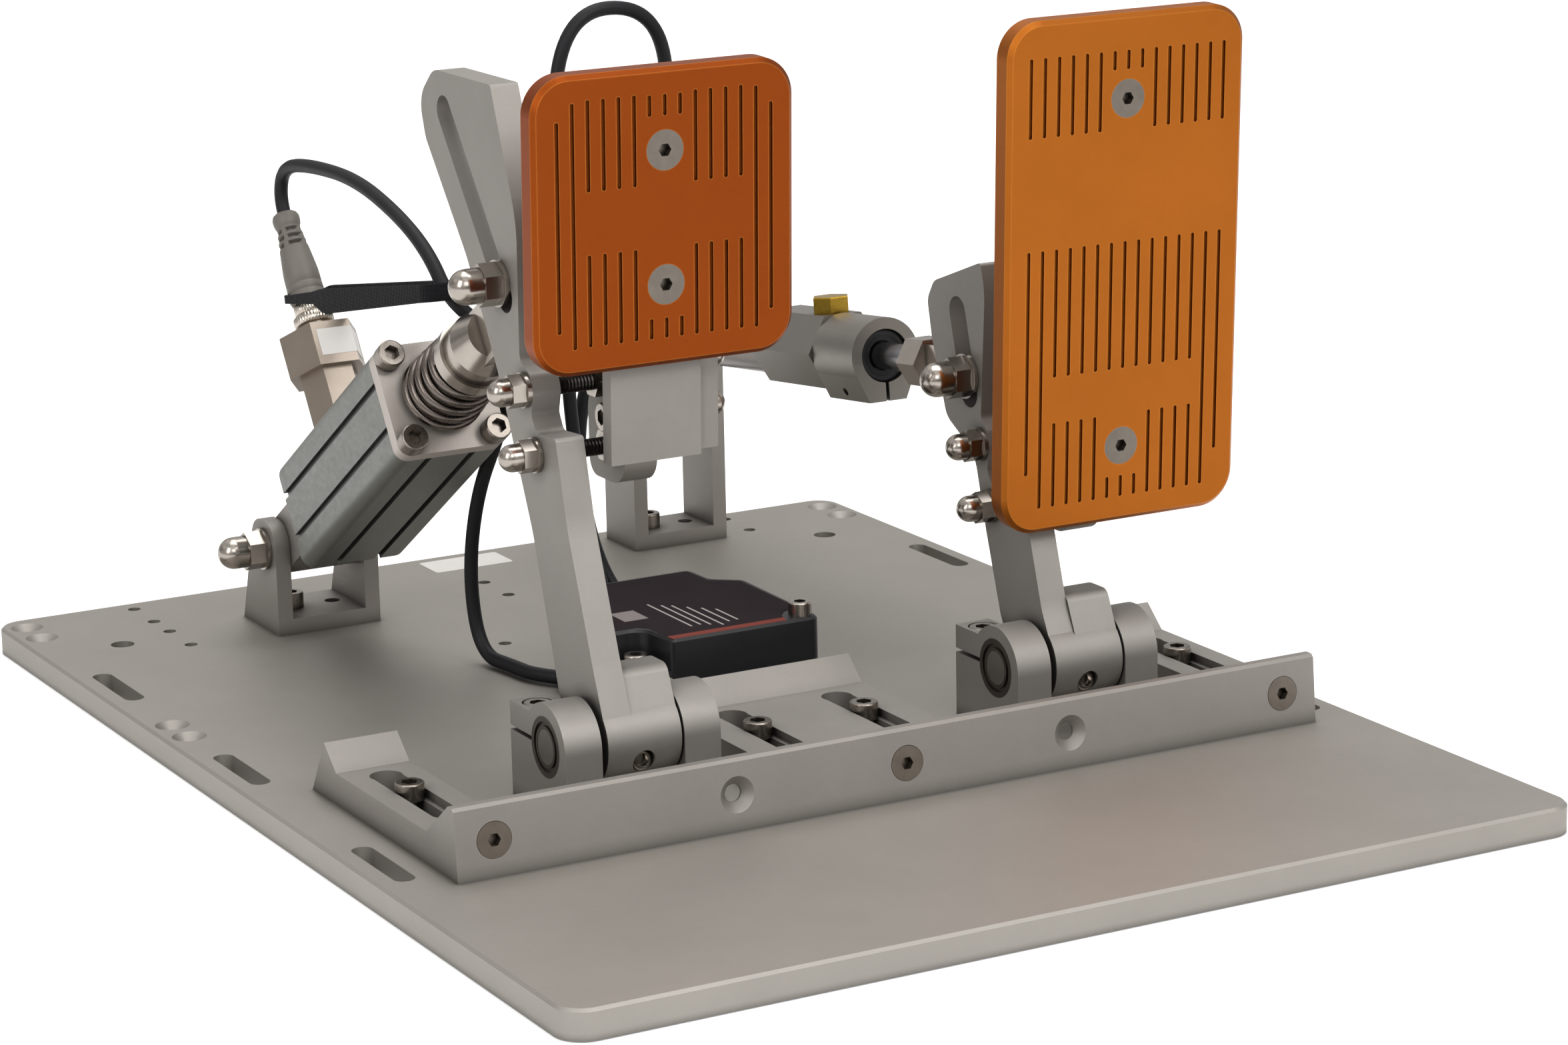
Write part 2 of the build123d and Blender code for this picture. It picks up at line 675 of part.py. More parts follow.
def pedal_head(offset, pivot, drop, shoulder, pad_height, pad_middle, pad_screws, grooves, name):
    arm_left = hub_left(offset)
    arm_right = arm_left + arm_thickness
    bracket_left = arm_right + stud_bare + m6_nut_height
    bracket_right = bracket_left + bracket_thickness
    ear_right = bracket_right + ear_thickness
    plate_left = bracket_left - block_plate_left
    middle_x = plate_left + block_plate_width / 2
    pivot_spot = hinge_spot(pivot)
    rake = radians(pad_rake)
    bolt_spot = hinge_spot((lower_bolt[0] + drop[0], lower_bolt[1] + drop[1]))
    high_bolt_spot = (bolt_spot[0] - bolt_pitch * sin(rake), bolt_spot[1] + bolt_pitch * cos(rake))
    raked = Plane(origin=(middle_x, *bolt_spot), x_dir=(1, 0, 0), z_dir=(0, -cos(rake), -sin(rake)))
    pad_up = pad_middle - lower_bolt[1] - drop[1]
    plate_front = block_plate_reach + block_plate_thickness
    plate_top = pad_up + pad_screws[0] + plate_above_screw
    screw_spots = [(0, pad_up + up) for up in pad_screws]

    # Hinge shaft, turning with the arm
    with BuildPart() as shaft:
        with BuildSketch(Plane.YZ.offset(left_block_x(offset) + side_fit)):
            with Locations((hinge_y, hinge_z)):
                Circle(shaft_diameter / 2)
        extrude(amount=right_block_x(offset) + block_width - left_block_x(offset) - 2 * side_fit)
    piece(shaft.part, name + "_hinge_shaft")

    # Shoulder bolt through the slotted arm
    bolt_end = arm_left - washer_thickness - m8_cap_height + m8_nut_across / 2 + side_fit
    with BuildPart() as bolt:
        with BuildSketch(Plane.YZ.offset(bolt_end)):
            with Locations(pivot_spot):
                Circle(m8 / 2)
        extrude(amount=arm_right - bolt_end)
        with BuildSketch(Plane.YZ.offset(arm_right)):
            with Locations(pivot_spot):
                Circle(shoulder_diameter / 2)
        extrude(amount=shoulder)
        with BuildSketch(Plane.YZ.offset(arm_right + shoulder)):
            with Locations(pivot_spot):
                Circle(shoulder_head / 2)
        extrude(amount=shoulder_head_height)
        with BuildSketch(Plane.YZ.offset(arm_right + shoulder + shoulder_head_height)):
            with Locations(pivot_spot):
                RegularPolygon(m8_socket / 2, 6, major_radius=False)
        extrude(amount=-socket_depth, mode=Mode.SUBTRACT)
    piece(bolt.part, name + "_pivot_bolt")

    # Threaded studs that carry the holder beside the arm
    stud_start = arm_left - stud_left
    stud = rod(m6, bracket_left + stud_in_bracket - stud_start)
    group([at(stud, (stud_start, y, z), (1, 0, 0)) for y, z in stud_spots(drop)], name + "_studs")
    nut = hex_nut(m6, m6_nut_across, m6_nut_height)

    # Washers, cap nuts on the arm's left and the ear's right, plain nuts against the bracket
    rings = [at(washer(m6, m6_washer), (arm_left, y, z), (-1, 0, 0)) for y, z in stud_spots(drop)]
    rings.append(at(washer(m8, m8_washer), (arm_left, *pivot_spot), (-1, 0, 0)))
    group(rings, name + "_washers")
    caps = [at(m6_cap, (arm_left - washer_thickness, y, z), (-1, 0, 0)) for y, z in stud_spots(drop)]
    caps.append(at(m8_cap, (arm_left - washer_thickness, *pivot_spot), (-1, 0, 0)))
    caps += [at(m6_cap, (ear_right, y, z), (1, 0, 0)) for y, z in (bolt_spot, high_bolt_spot)]
    caps += [at(nut, (bracket_left - m6_nut_height, y, z), (1, 0, 0)) for y, z in stud_spots(drop)]
    group(caps, name + "_nuts")

    # Tilt bracket with the rounded nose
    bracket_radii = [bracket_nose, ear_corner, bracket_nose, ear_corner, ear_corner]
    front_y, bottom_z = hinge_spot((bracket_front + drop[0], bracket_bottom + drop[1]))
    back_y, top_z = hinge_spot((bracket_back + drop[0], bracket_top + drop[1]))
    with BuildPart() as bracket:
        with BuildSketch(Plane.YZ.offset(bracket_left)):
            with BuildLine():
                FilletPolyline((front_y, bottom_z), (back_y, bottom_z), (back_y, bolt_spot[1]),
                               (back_y - bracket_nose, top_z), (front_y, top_z), radius=bracket_radii,
                               close=True)
            make_face()
            with Locations(bolt_spot):
                Circle(m6 / 2, mode=Mode.SUBTRACT)
            with Locations(high_bolt_spot):
                SlotOverall(tilt_slot_length, m6_clear, rotation=pad_rake, mode=Mode.SUBTRACT)
        extrude(amount=bracket_thickness)
        with BuildSketch(Plane.YZ.offset(bracket_left)):
            with Locations(*stud_spots(drop)):
                Circle(m6 / 2)
        extrude(amount=stud_in_bracket, mode=Mode.SUBTRACT)
    piece(bracket.part, name + "_tilt_bracket")

    tilt_bolt_length = ear_right - bracket_left + m6_cap_height - m6_nut_across / 2 - side_fit
    tilt_bolt = socket_screw(m6, m6_head, m6_head_height, m6_socket, tilt_bolt_length)
    tilt_bolts = [at(tilt_bolt, (bracket_left, y, z), (-1, 0, 0)) for y, z in (bolt_spot, high_bolt_spot)]
    group(tilt_bolts, name + "_tilt_bolts")

    # Pad block: a plate behind the pad with one ear against the bracket
    ear_plane = Plane(origin=(bracket_right, *bolt_spot), x_dir=(0, cos(rake), sin(rake)), z_dir=(1, 0, 0))
    with BuildPart() as block:
        with BuildSketch(raked.offset(block_plate_reach)):
            with Locations((0, (plate_top - block_plate_below) / 2)):
                Rectangle(block_plate_width, plate_top + block_plate_below)
        extrude(amount=block_plate_thickness)
        fillet(block.edges().filter_by(Axis.X, reverse=True).group_by(Axis.Z)[-1], m6 / 2)
        with BuildSketch(ear_plane):
            with BuildLine():
                FilletPolyline((-block_plate_reach, -block_plate_below), (ear_behind, -block_plate_below),
                               (ear_behind, ear_height - block_plate_below),
                               (-block_plate_reach, ear_height - block_plate_below),
                               radius=[0.0, ear_corner, ear_corner, 0.0], close=True)
            make_face()
        extrude(amount=ear_thickness)
        with BuildSketch(Plane.YZ.offset(bracket_right)):
            with Locations(bolt_spot, high_bolt_spot):
                Circle(m6 / 2)
        extrude(amount=ear_thickness, mode=Mode.SUBTRACT)
        with BuildSketch(raked.offset(plate_front)):
            with Locations(*screw_spots):
                Circle(m6 / 2)
        extrude(amount=-(pad_screw_length - pad_thickness), mode=Mode.SUBTRACT)
    piece(block.part, name + "_pad_block")

    # Pad with its cut grooves and sunk screws
    face = raked.offset(plate_front + pad_thickness)
    with BuildPart() as pad:
        with BuildSketch(raked.offset(plate_front)):
            with Locations((0, pad_up)):
                RectangleRounded(pad_width, pad_height, pad_corner)
        extrude(amount=pad_thickness)
        chamfer(pad.faces().sort_by(Axis.Y)[0].edges(), pad_edge)
        with BuildSketch(face.shift_origin(face.from_local_coords((0, pad_up, 0)))):
            pad_grooves(grooves)
        extrude(amount=-groove_depth, mode=Mode.SUBTRACT)
        with Locations(face):
            with Locations(*screw_spots):
                CounterSinkHole(m6 / 2, pad_sink_head / 2, depth=pad_thickness, counter_sink_angle=90)
    piece(pad.part, name + "_pad")
    pad_screw = sink_screw(m6, pad_sink_head, m6_sink_socket, pad_screw_length)
    spots = [face.from_local_coords((0, up, 0)) for middle, up in screw_spots]
    group([pad_screw.moved(Plane(origin=spot, x_dir=(1, 0, 0), z_dir=face.z_dir).location) for spot in spots],
          name + "_pad_screws")


pedal_head(0, brake_pivot, (0, 0), tongue_thickness + 2 * side_fit, brake_pad_height, brake_pad_middle,
           brake_pad_screws, brake_grooves, "brake")
pedal_head(pedal_pitch, throttle_pivot, throttle_drop, rod_end_thickness + 2 * side_fit, throttle_pad_height,
           throttle_pad_middle, throttle_pad_screws, throttle_grooves, "throttle")


# Rear brackets: U shapes with two ears

def bracket_blank(middle_x, outline, radii, screw_y, pivot):
    with BuildPart() as blank:
        with BuildSketch(Plane.YZ.offset(middle_x - bracket_width / 2)):
            with BuildLine():
                FilletPolyline(*outline, radius=radii, close=True)
            make_face()
            with Locations(pivot):
                Circle(m8 / 2, mode=Mode.SUBTRACT)
        extrude(amount=bracket_width)
        with BuildSketch(Plane.XY.offset(plate_thickness + bracket_base)):
            with Locations((middle_x, screw_y)):
                Rectangle(bracket_width - 2 * bracket_ear, bracket_cut)
        extrude(amount=bracket_cut, mode=Mode.SUBTRACT)
        with BuildSketch(Plane.XY.offset(plate_thickness)):
            with Locations(*[(middle_x + side * bracket_hole_offset, screw_y) for side in (-1, 1)]):
                Circle(m6 / 2)
        extrude(amount=bracket_base, mode=Mode.SUBTRACT)
    return blank.part


ear_top = 2 * (cylinder_pivot[0] - brake_bracket_front)
ear_crown_z = cylinder_pivot[1] + ear_top / 2
ear_crown_radius = ear_top * bracket_crown_radius_share
low_outline = [(brake_bracket_front, plate_thickness), (brake_bracket_front, ear_crown_z),
               (brake_bracket_front + ear_top * bracket_crown_share, ear_crown_z),
               (brake_bracket_back, plate_thickness)]
low_bracket = bracket_blank(cylinder_x, low_outline, [0.0, ear_crown_radius, ear_crown_radius, 0.0],
                            brake_bracket_y, cylinder_pivot)
piece(low_bracket, "brake_rear_bracket")

tall_half = (throttle_bracket_back - throttle_bracket_front) / 2
tall_crown_radius = tall_half * tall_crown_radius_share
tall_crown_z = damper_pivot[1] + tall_half
tall_outline = [(throttle_bracket_front, plate_thickness), (throttle_bracket_front, tall_crown_z),
                (throttle_bracket_back, tall_crown_z), (throttle_bracket_back, plate_thickness)]
tall_bracket = bracket_blank(damper_x, tall_outline, [0.0, tall_crown_radius, tall_crown_radius, 0.0],
                             throttle_bracket_y, damper_pivot)
piece(tall_bracket, "throttle_rear_bracket")

rear_pivots = [(cylinder_x, *cylinder_pivot), (damper_x, *damper_pivot)]
rear_bolt_length = bracket_width + washer_thickness + m8_cap_height - m8_nut_across / 2 - side_fit
rear_bolt = socket_screw(m8, m8_head, m8_head_height, m8_socket, rear_bolt_length)
half_bracket = bracket_width / 2
group([at(rear_bolt, (x + half_bracket, y, z), (1, 0, 0)) for x, y, z in rear_pivots], "rear_pivot_bolts")
rear_washer = washer(m8, m8_washer)
rear_rings = [at(rear_washer, (x - half_bracket, y, z), (-1, 0, 0)) for x, y, z in rear_pivots]
group(rear_rings, "rear_pivot_washers")
nut_offset = half_bracket + washer_thickness
group([at(m8_cap, (x - nut_offset, y, z), (-1, 0, 0)) for x, y, z in rear_pivots], "rear_pivot_nuts")

clamp_spots = [(x + block_width / 2, hinge_y + clamp_screw_y, shoulder_z - m6_head_height)
               for offset in (0, pedal_pitch) for x in (left_block_x(offset), right_block_x(offset))]
carrier_spots = [(x, carrier_screw_y, carrier_seat) for x in carrier_screw_x]
base_spots = [(x, y, plate_thickness + bracket_base) for x, y in bracket_screw_spots]
group([at(m6_screw, spot, (0, 0, 1)) for spot in carrier_spots + base_spots + clamp_spots], "cap_screws_m6")


# Brake cylinder, drawn along its own axis from the rear pivot towards the pedal

brake_arm_spot = hinge_spot(brake_pivot)
cylinder_run = hypot(brake_arm_spot[0] - cylinder_pivot[0], brake_arm_spot[1] - cylinder_pivot[1])
run_y = (brake_arm_spot[0] - cylinder_pivot[0]) / cylinder_run
run_z = (brake_arm_spot[1] - cylinder_pivot[1]) / cylinder_run
along = Plane(origin=(cylinder_x, *cylinder_pivot), x_dir=(1, 0, 0), z_dir=(0, run_y, run_z))
half_body = body_size / 2
plate_screw_sides = [(-1, -1), (-1, 1), (1, -1), (1, 1)]
plate_screw_spots = [(across * plate_screw_spot, up * plate_screw_spot) for across, up in plate_screw_sides]
sensor_spot = along.from_local_coords((0, 0, sensor_station))
sensor_axis = Plane(origin=sensor_spot, x_dir=(1, 0, 0), z_dir=along.y_dir)

with BuildPart() as cylinder_body:
    with BuildSketch(along.offset(body_start)):
        RectangleRounded(body_size, body_size, body_corner)
        for side in (-1, 1):
            for offset in (-groove_offset, groove_offset):
                with Locations((side * half_body, offset)):
                    Rectangle(2 * body_groove_depth, body_groove_width, mode=Mode.SUBTRACT)
                with Locations((offset, side * half_body)):
                    Rectangle(body_groove_width, 2 * body_groove_depth, mode=Mode.SUBTRACT)
    extrude(amount=body_end - body_start)
    with BuildSketch(along.offset(rod_inner_end - half_body)):
        Circle(rod_diameter / 2 + running_fit)
    extrude(amount=body_end, mode=Mode.SUBTRACT)
    with BuildSketch(along.offset(body_end)):
        with Locations(*plate_screw_spots):
            Circle(m6 / 2)
    extrude(amount=-m6_screw_length, mode=Mode.SUBTRACT)
piece(cylinder_body.part, "brake_cylinder_body")

with BuildPart() as front_plate:
    with BuildSketch(along.offset(body_end)):
        RectangleRounded(body_size, body_size, body_corner)
        Circle(rod_diameter / 2 + running_fit, mode=Mode.SUBTRACT)
        with Locations(*plate_screw_spots):
            Circle(m6 / 2, mode=Mode.SUBTRACT)
    extrude(amount=front_plate_end - body_end)
piece(front_plate.part, "brake_cylinder_front_plate")

seats = [along.from_local_coords((x, y, front_plate_end)) for x, y in plate_screw_spots]
group([at(m6_screw, seat, along.z_dir) for seat in seats], "front_plate_screws")

with BuildPart() as clevis:
    with BuildSketch(Plane(origin=(cylinder_x - clevis_width / 2, *cylinder_pivot), x_dir=along.z_dir,
                           z_dir=(1, 0, 0))):
        Circle(clevis_radius)
        with Locations((body_start / 2, 0)):
            Rectangle(body_start, 2 * clevis_radius)
        Circle(m8 / 2 + running_fit, mode=Mode.SUBTRACT)
    extrude(amount=clevis_width)
piece(clevis.part, "brake_cylinder_clevis")

# Push rod, collar, cap and the tongue beside the arm
with BuildPart() as push_rod:
    with BuildSketch(Plane(origin=along.origin, x_dir=(1, 0, 0), z_dir=-along.y_dir)):
        with BuildLine():
            Polyline((0, rod_inner_end), (rod_diameter / 2, rod_inner_end), (rod_diameter / 2, cap_start),
                     (cap_collar_radius, cap_start), (cap_collar_radius, cap_collar_end),
                     (cap_body_radius, cap_collar_end), (cap_body_radius, cap_cone_start),
                     (tongue_thickness, cap_body_end), (0, cap_body_end), close=True)
        make_face()
    revolve(axis=Axis(along.origin, along.z_dir))
    with BuildSketch(Plane(origin=(cylinder_x - tongue_thickness / 2, *cylinder_pivot), x_dir=along.z_dir,
                           z_dir=(1, 0, 0))):
        with Locations(((cap_cone_start + cylinder_run) / 2, 0)):
            Rectangle(cylinder_run - cap_cone_start, tongue_width)
        with Locations((cylinder_run, 0)):
            Circle(tongue_width / 2)
            Circle(shoulder_diameter / 2 + push_rod_play, mode=Mode.SUBTRACT)
    extrude(amount=tongue_thickness)
piece(push_rod.part, "brake_push_rod")


# Conical return spring: one wire, and each of its steps is two arcs that meet smoothly

def coil_state(turn):
    height = front_plate_end + spring_seat + spring_wire / 2
    climb = cap_start - front_plate_end - 2 * spring_seat - spring_wire
    slope = (spring_high_radius - spring_low_radius) / (2 * pi * spring_turns)
    angle = 2 * pi * turn
    radius = spring_low_radius + slope * angle
    spot = Vector(radius * cos(angle), radius * sin(angle), height + climb * turn / spring_turns)
    way = Vector(slope * cos(angle) - radius * sin(angle), slope * sin(angle) + radius * cos(angle),
                 climb / (2 * pi * spring_turns))
    return spot, way.normalized()


def coil_edges():
    edges = []
    states = [coil_state(step * spring_turns / spring_steps) for step in range(spring_steps + 1)]
    for (low, low_way), (high, high_way) in zip(states, states[1:]):
        gap = high - low
        ways = low_way + high_way
        share = 2 * (1 - low_way.dot(high_way))
        reach = (-gap.dot(ways) + (gap.dot(ways) ** 2 + share * gap.dot(gap)) ** 0.5) / share
        middle = (low + low_way * reach + high - high_way * reach) / 2
        middle_way = (middle - low - low_way * reach).normalized()
        edges.append(Edge.make_tangent_arc(low, low_way, middle))
        edges.append(Edge.make_tangent_arc(middle, middle_way, high))
    return edges


coil_wire = Wire(coil_edges())
coil_start, coil_way = coil_state(0)
with BuildPart() as coil:
    with BuildSketch(Plane(origin=coil_start, z_dir=coil_way)):
        Circle(spring_wire / 2)
    sweep(path=coil_wire)
piece(coil.part.moved(along.location), "brake_spring")
coil_gap = (spring_length - spring_wire) / spring_turns - spring_wire
print("spring: length", round(coil_wire.length, 1), "volume", round(coil.part.volume, 1), "expected",
      round(coil_wire.length * pi * spring_wire ** 2 / 4, 1), "gap between turns", round(coil_gap, 2))


# Pressure sensor with its round connector

with BuildPart() as sensor:
    with BuildSketch(sensor_axis.offset(half_body)):
        RegularPolygon(sensor_neck_across / 2, 6, major_radius=False)
    extrude(amount=sensor_neck_top - half_body)
    with BuildSketch(sensor_axis.offset(sensor_neck_top)):
        RegularPolygon(sensor_across / 2, 6, major_radius=False)
    extrude(amount=sensor_top - sensor_neck_top)
    with BuildSketch(sensor_axis.offset(sensor_top)):
        Circle(sensor_thread_radius)
    extrude(amount=sensor_thread_top - sensor_top)
piece(sensor.part, "pressure_sensor")

with BuildPart() as coupling:
    with BuildSketch(sensor_axis.offset(coupling_low)):
        Circle(coupling_radius)
        Circle(sensor_thread_radius, mode=Mode.SUBTRACT)
    extrude(amount=coupling_high - coupling_low)
    chamfer(coupling.edges().filter_by(GeomType.CIRCLE).group_by(SortBy.LENGTH)[-1], coupling_edge)
piece(coupling.part, "sensor_plug_nut")

with BuildPart() as plug:
    with BuildSketch(Plane(origin=sensor_axis.origin, x_dir=(1, 0, 0), z_dir=-sensor_axis.y_dir)):
        with BuildLine():
            Polyline((0, plug_steps[0][0]), *[(radius, height) for height, radius in plug_steps],
                     (plug_collar_radius, plug_steps[-1][0]), (plug_collar_radius, plug_collar_top),
                     (0, plug_collar_top), close=True)
        make_face()
    revolve(axis=Axis(sensor_axis.origin, sensor_axis.z_dir))
piece(plug.part, "sensor_plug")


# Throttle damper, drawn along its axis from the arm pivot to the rear pivot

throttle_arm_spot = hinge_spot(throttle_pivot)
damper_run = hypot(damper_pivot[0] - throttle_arm_spot[0], damper_pivot[1] - throttle_arm_spot[1])
rear_way_y = (damper_pivot[0] - throttle_arm_spot[0]) / damper_run
rear_way_z = (damper_pivot[1] - throttle_arm_spot[1]) / damper_run
behind = Plane(origin=(damper_x, *throttle_arm_spot), x_dir=(1, 0, 0), z_dir=(0, rear_way_y, rear_way_z))

with BuildPart() as rod_end:
    with BuildSketch(Plane(origin=(damper_x - rod_end_thickness / 2, *throttle_arm_spot), x_dir=behind.z_dir,
                           z_dir=(1, 0, 0))):
        Circle(rod_end_radius)
        with Locations((rod_hex_start / 2, 0)):
            Rectangle(rod_hex_start, rod_end_neck)
        Circle(shoulder_diameter / 2 + rod_end_play, mode=Mode.SUBTRACT)
    extrude(amount=rod_end_thickness)
    with BuildSketch(behind.offset(rod_hex_start)):
        RegularPolygon(rod_hex_across / 2, 6, major_radius=False)
    extrude(amount=rod_hex_end - rod_hex_start)
piece(rod_end.part, "throttle_rod_end")

with BuildPart() as damper_rod:
    with BuildSketch(behind.offset(rod_hex_end)):
        Circle(throttle_rod_diameter / 2)
    extrude(amount=throttle_rod_end - rod_hex_end)
piece(damper_rod.part, "throttle_rod")

lug_root_x = collar_radius * lug_root_across_share
lug_root_y = collar_radius * lug_root_share
with BuildPart() as collar:
    with BuildSketch(behind.offset(collar_start)):
        Circle(collar_radius)
        with BuildLine():
            Polyline((-lug_root_x, lug_root_y), (-collar_lug_width / 2, collar_lug),
                     (collar_lug_width / 2, collar_lug), (lug_root_x, lug_root_y), close=True)
        make_face()
        Circle(collar_bore / 2, mode=Mode.SUBTRACT)
        with Locations((0, collar_lug)):
            Rectangle(collar_slit, 2 * (collar_lug - collar_slit_share * collar_bore / 2), mode=Mode.SUBTRACT)
    extrude(amount=collar_end - collar_start)
    lug_spot = behind.from_local_coords((-collar_radius, collar_screw_drop, (collar_start + collar_end) / 2))
    with BuildSketch(Plane(origin=lug_spot, z_dir=(1, 0, 0))):
        Circle(collar_screw_hole / 2)
    extrude(amount=2 * collar_radius, mode=Mode.SUBTRACT)
piece(collar.part, "damper_clamp_collar")

brass_spot = behind.from_local_coords((0, -gland_across / 2, brass_station))
brass_seat = Plane(origin=brass_spot, x_dir=(1, 0, 0), z_dir=-behind.y_dir)
with BuildPart() as gland:
    with BuildSketch(behind.offset(gland_nose_start)):
        Circle(collar_bore / 2)
    extrude(amount=collar_end - gland_nose_start)
    with BuildSketch(behind.offset(collar_end)):
        RegularPolygon(gland_across / 2, 6, major_radius=False)
    extrude(amount=gland_end - collar_end)
    with BuildSketch(behind.offset(gland_nose_start)):
        Circle(throttle_rod_diameter / 2 + running_fit)
    extrude(amount=gland_end - gland_nose_start, mode=Mode.SUBTRACT)
    with BuildSketch(brass_seat):
        Circle(brass_shank / 2)
    extrude(amount=-brass_shank_depth, mode=Mode.SUBTRACT)
piece(gland.part, "damper_gland")

with BuildPart() as brass_screw:
    with BuildSketch(brass_seat):
        RegularPolygon(brass_across / 2, 6, major_radius=False)
    extrude(amount=brass_height)
    fillet(brass_screw.faces().sort_by(Axis.Z)[-1].edges(), brass_height * head_edge_share)
    with BuildSketch(brass_seat):
        Circle(brass_shank / 2)
    extrude(amount=-brass_shank_depth)
piece(brass_screw.part, "damper_bleed_screw")

with BuildPart() as tube:
    with BuildSketch(behind.offset(gland_end)):
        Circle(tube_diameter / 2)
    extrude(amount=tube_end - gland_end)
    with BuildSketch(Plane(origin=(damper_x - eye_width / 2, *damper_pivot), x_dir=-behind.z_dir,
                           z_dir=(1, 0, 0))):
        Circle(eye_radius)
        with Locations(((damper_run - tube_end) / 2, 0)):
            Rectangle(damper_run - tube_end, 2 * eye_radius)
    extrude(amount=eye_width)
    with BuildSketch(Plane(origin=(damper_x - eye_width / 2, *damper_pivot), z_dir=(1, 0, 0))):
        Circle(m8 / 2 + running_fit)
    extrude(amount=eye_width, mode=Mode.SUBTRACT)
    with BuildSketch(behind.offset(gland_end)):
        Circle(tube_bore / 2)
    extrude(amount=tube_end - gland_end - eye_radius, mode=Mode.SUBTRACT)
piece(tube.part, "damper_tube")


# Control box: base with the low ear, lid, two screws

def box_part(outline, radii, low, high):
    with BuildPart() as shell:
        with BuildSketch(Plane.XY.offset(low)):
            with BuildLine():
                FilletPolyline(*outline, radius=radii, close=True)
            make_face()
        extrude(amount=high - low)
        for x, y, seat in box_screw_spots:
            with BuildSketch(Plane.XY.offset(seat)):
                with Locations((x, y)):
                    Circle(box_screw / 2)
            extrude(amount=-box_screw_length, mode=Mode.SUBTRACT)
    return shell


box_base = box_part(box_outline, box_radii, plate_thickness, box_joint)
piece(box_base.part, "control_box_base")
box_lid = box_part(lid_outline, lid_radii, box_joint, box_top)
with box_lid:
    chamfer(box_lid.faces().sort_by(Axis.Z)[-1].outer_wire().edges(), box_edge)
piece(box_lid.part, "control_box_lid")
box_bolt = socket_screw(box_screw, box_screw_head, box_screw_head_height, box_socket, box_screw_length)
group([at(box_bolt, spot, (0, 0, 1)) for spot in box_screw_spots], "control_box_screws")


# Cables: straight runs joined by arcs

def route_radii(points, limits):
    radii = []
    runs = [(Vector(*b) - Vector(*a)).length for a, b in zip(points, points[1:])]
    runs[0] *= 2
    runs[-1] *= 2
    for spot in range(1, len(points) - 1):
        way_in = (Vector(*points[spot]) - Vector(*points[spot - 1])).normalized()
        way_out = (Vector(*points[spot + 1]) - Vector(*points[spot])).normalized()
        half_turn = way_in.get_angle(way_out) / 2
        shorter = min(runs[spot - 1], runs[spot])
        radii.append(min(cable_bend_share * shorter / tan(radians(half_turn)), limits))
    return radii


def cable(points, label):
    radii = route_radii(points, cable_largest_radius)
    with BuildPart() as cord:
        with BuildLine() as route:
            FilletPolyline(*points, radius=radii)
        with BuildSketch(Plane(origin=points[0], z_dir=Vector(*points[1]) - Vector(*points[0]))):
            Circle(cable_diameter / 2)
        sweep(path=route.wires()[0])
    run = route.wires()[0].length
    print(label, "radii", [round(radius, 1) for radius in radii], "length", round(run, 1))
    print("volume", round(cord.part.volume, 1), "expected", round(run * pi * cable_diameter ** 2 / 4, 1))
    piece(cord.part, label)


plug_end = sensor_axis.from_local_coords((0, 0, plug_collar_top))
first_turn = plug_end + sensor_axis.z_dir * cable_exit
wall_out = Vector(*wall_way).normalized()
wall_end = Vector(*wall_spot) + wall_out * cable_wall_gap
wall_turn = Vector(*wall_spot) + wall_out * cable_wall_run
sensor_route = [tuple(plug_end), tuple(first_turn)] + sensor_route_middle
sensor_route += [tuple(wall_turn), tuple(wall_end)]
cable(sensor_route, "sensor_cable")
cable(loop_route, "loop_cable")


# Hook and loop strap round the sensor's plug and its cable

strap_way = Vector(0, strap_cable_spot[0] - strap_sensor_spot[0], strap_cable_spot[1] - strap_sensor_spot[1])
strap_run = strap_way.length
strap_up = strap_way.cross(Vector(1, 0, 0))
strap_plane = Plane(origin=(cylinder_x, *strap_sensor_spot), x_dir=strap_way, z_dir=strap_up)
lean = (strap_big_radius - strap_small_radius) / strap_run
across = (1 - lean ** 2) ** 0.5
with BuildPart() as strap:
    with BuildSketch(strap_plane.offset(-strap_height / 2)):
        for grown in (strap_thickness, 0):
            big = strap_big_radius + grown
            small = strap_small_radius + grown
            with BuildLine():
                upper = Line((big * lean, big * across), (strap_run + small * lean, small * across))
                lower = Line((strap_run + small * lean, -small * across), (big * lean, -big * across))
                ThreePointArc(upper @ 1, (strap_run + small, 0), lower @ 0)
                ThreePointArc(lower @ 1, (-big, 0), upper @ 0)
            make_face(mode=Mode.ADD if grown else Mode.SUBTRACT)
    extrude(amount=strap_height)
piece(strap.part, "cable_strap")
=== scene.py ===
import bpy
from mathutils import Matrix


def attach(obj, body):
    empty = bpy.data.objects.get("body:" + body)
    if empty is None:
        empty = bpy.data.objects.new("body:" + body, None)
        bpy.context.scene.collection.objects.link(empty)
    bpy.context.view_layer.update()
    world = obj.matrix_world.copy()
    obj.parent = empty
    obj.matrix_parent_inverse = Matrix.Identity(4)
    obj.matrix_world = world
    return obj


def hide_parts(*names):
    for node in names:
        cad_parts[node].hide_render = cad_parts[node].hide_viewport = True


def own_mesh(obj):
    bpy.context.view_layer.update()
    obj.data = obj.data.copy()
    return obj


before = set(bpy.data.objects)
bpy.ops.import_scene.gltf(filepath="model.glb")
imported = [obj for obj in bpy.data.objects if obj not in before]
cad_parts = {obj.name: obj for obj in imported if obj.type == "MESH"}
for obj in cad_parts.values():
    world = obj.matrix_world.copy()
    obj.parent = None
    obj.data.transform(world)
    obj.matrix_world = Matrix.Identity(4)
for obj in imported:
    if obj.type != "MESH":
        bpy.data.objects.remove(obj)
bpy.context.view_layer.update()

import math

import bmesh
import bpy
import numpy as np
from mathutils import Matrix, Vector

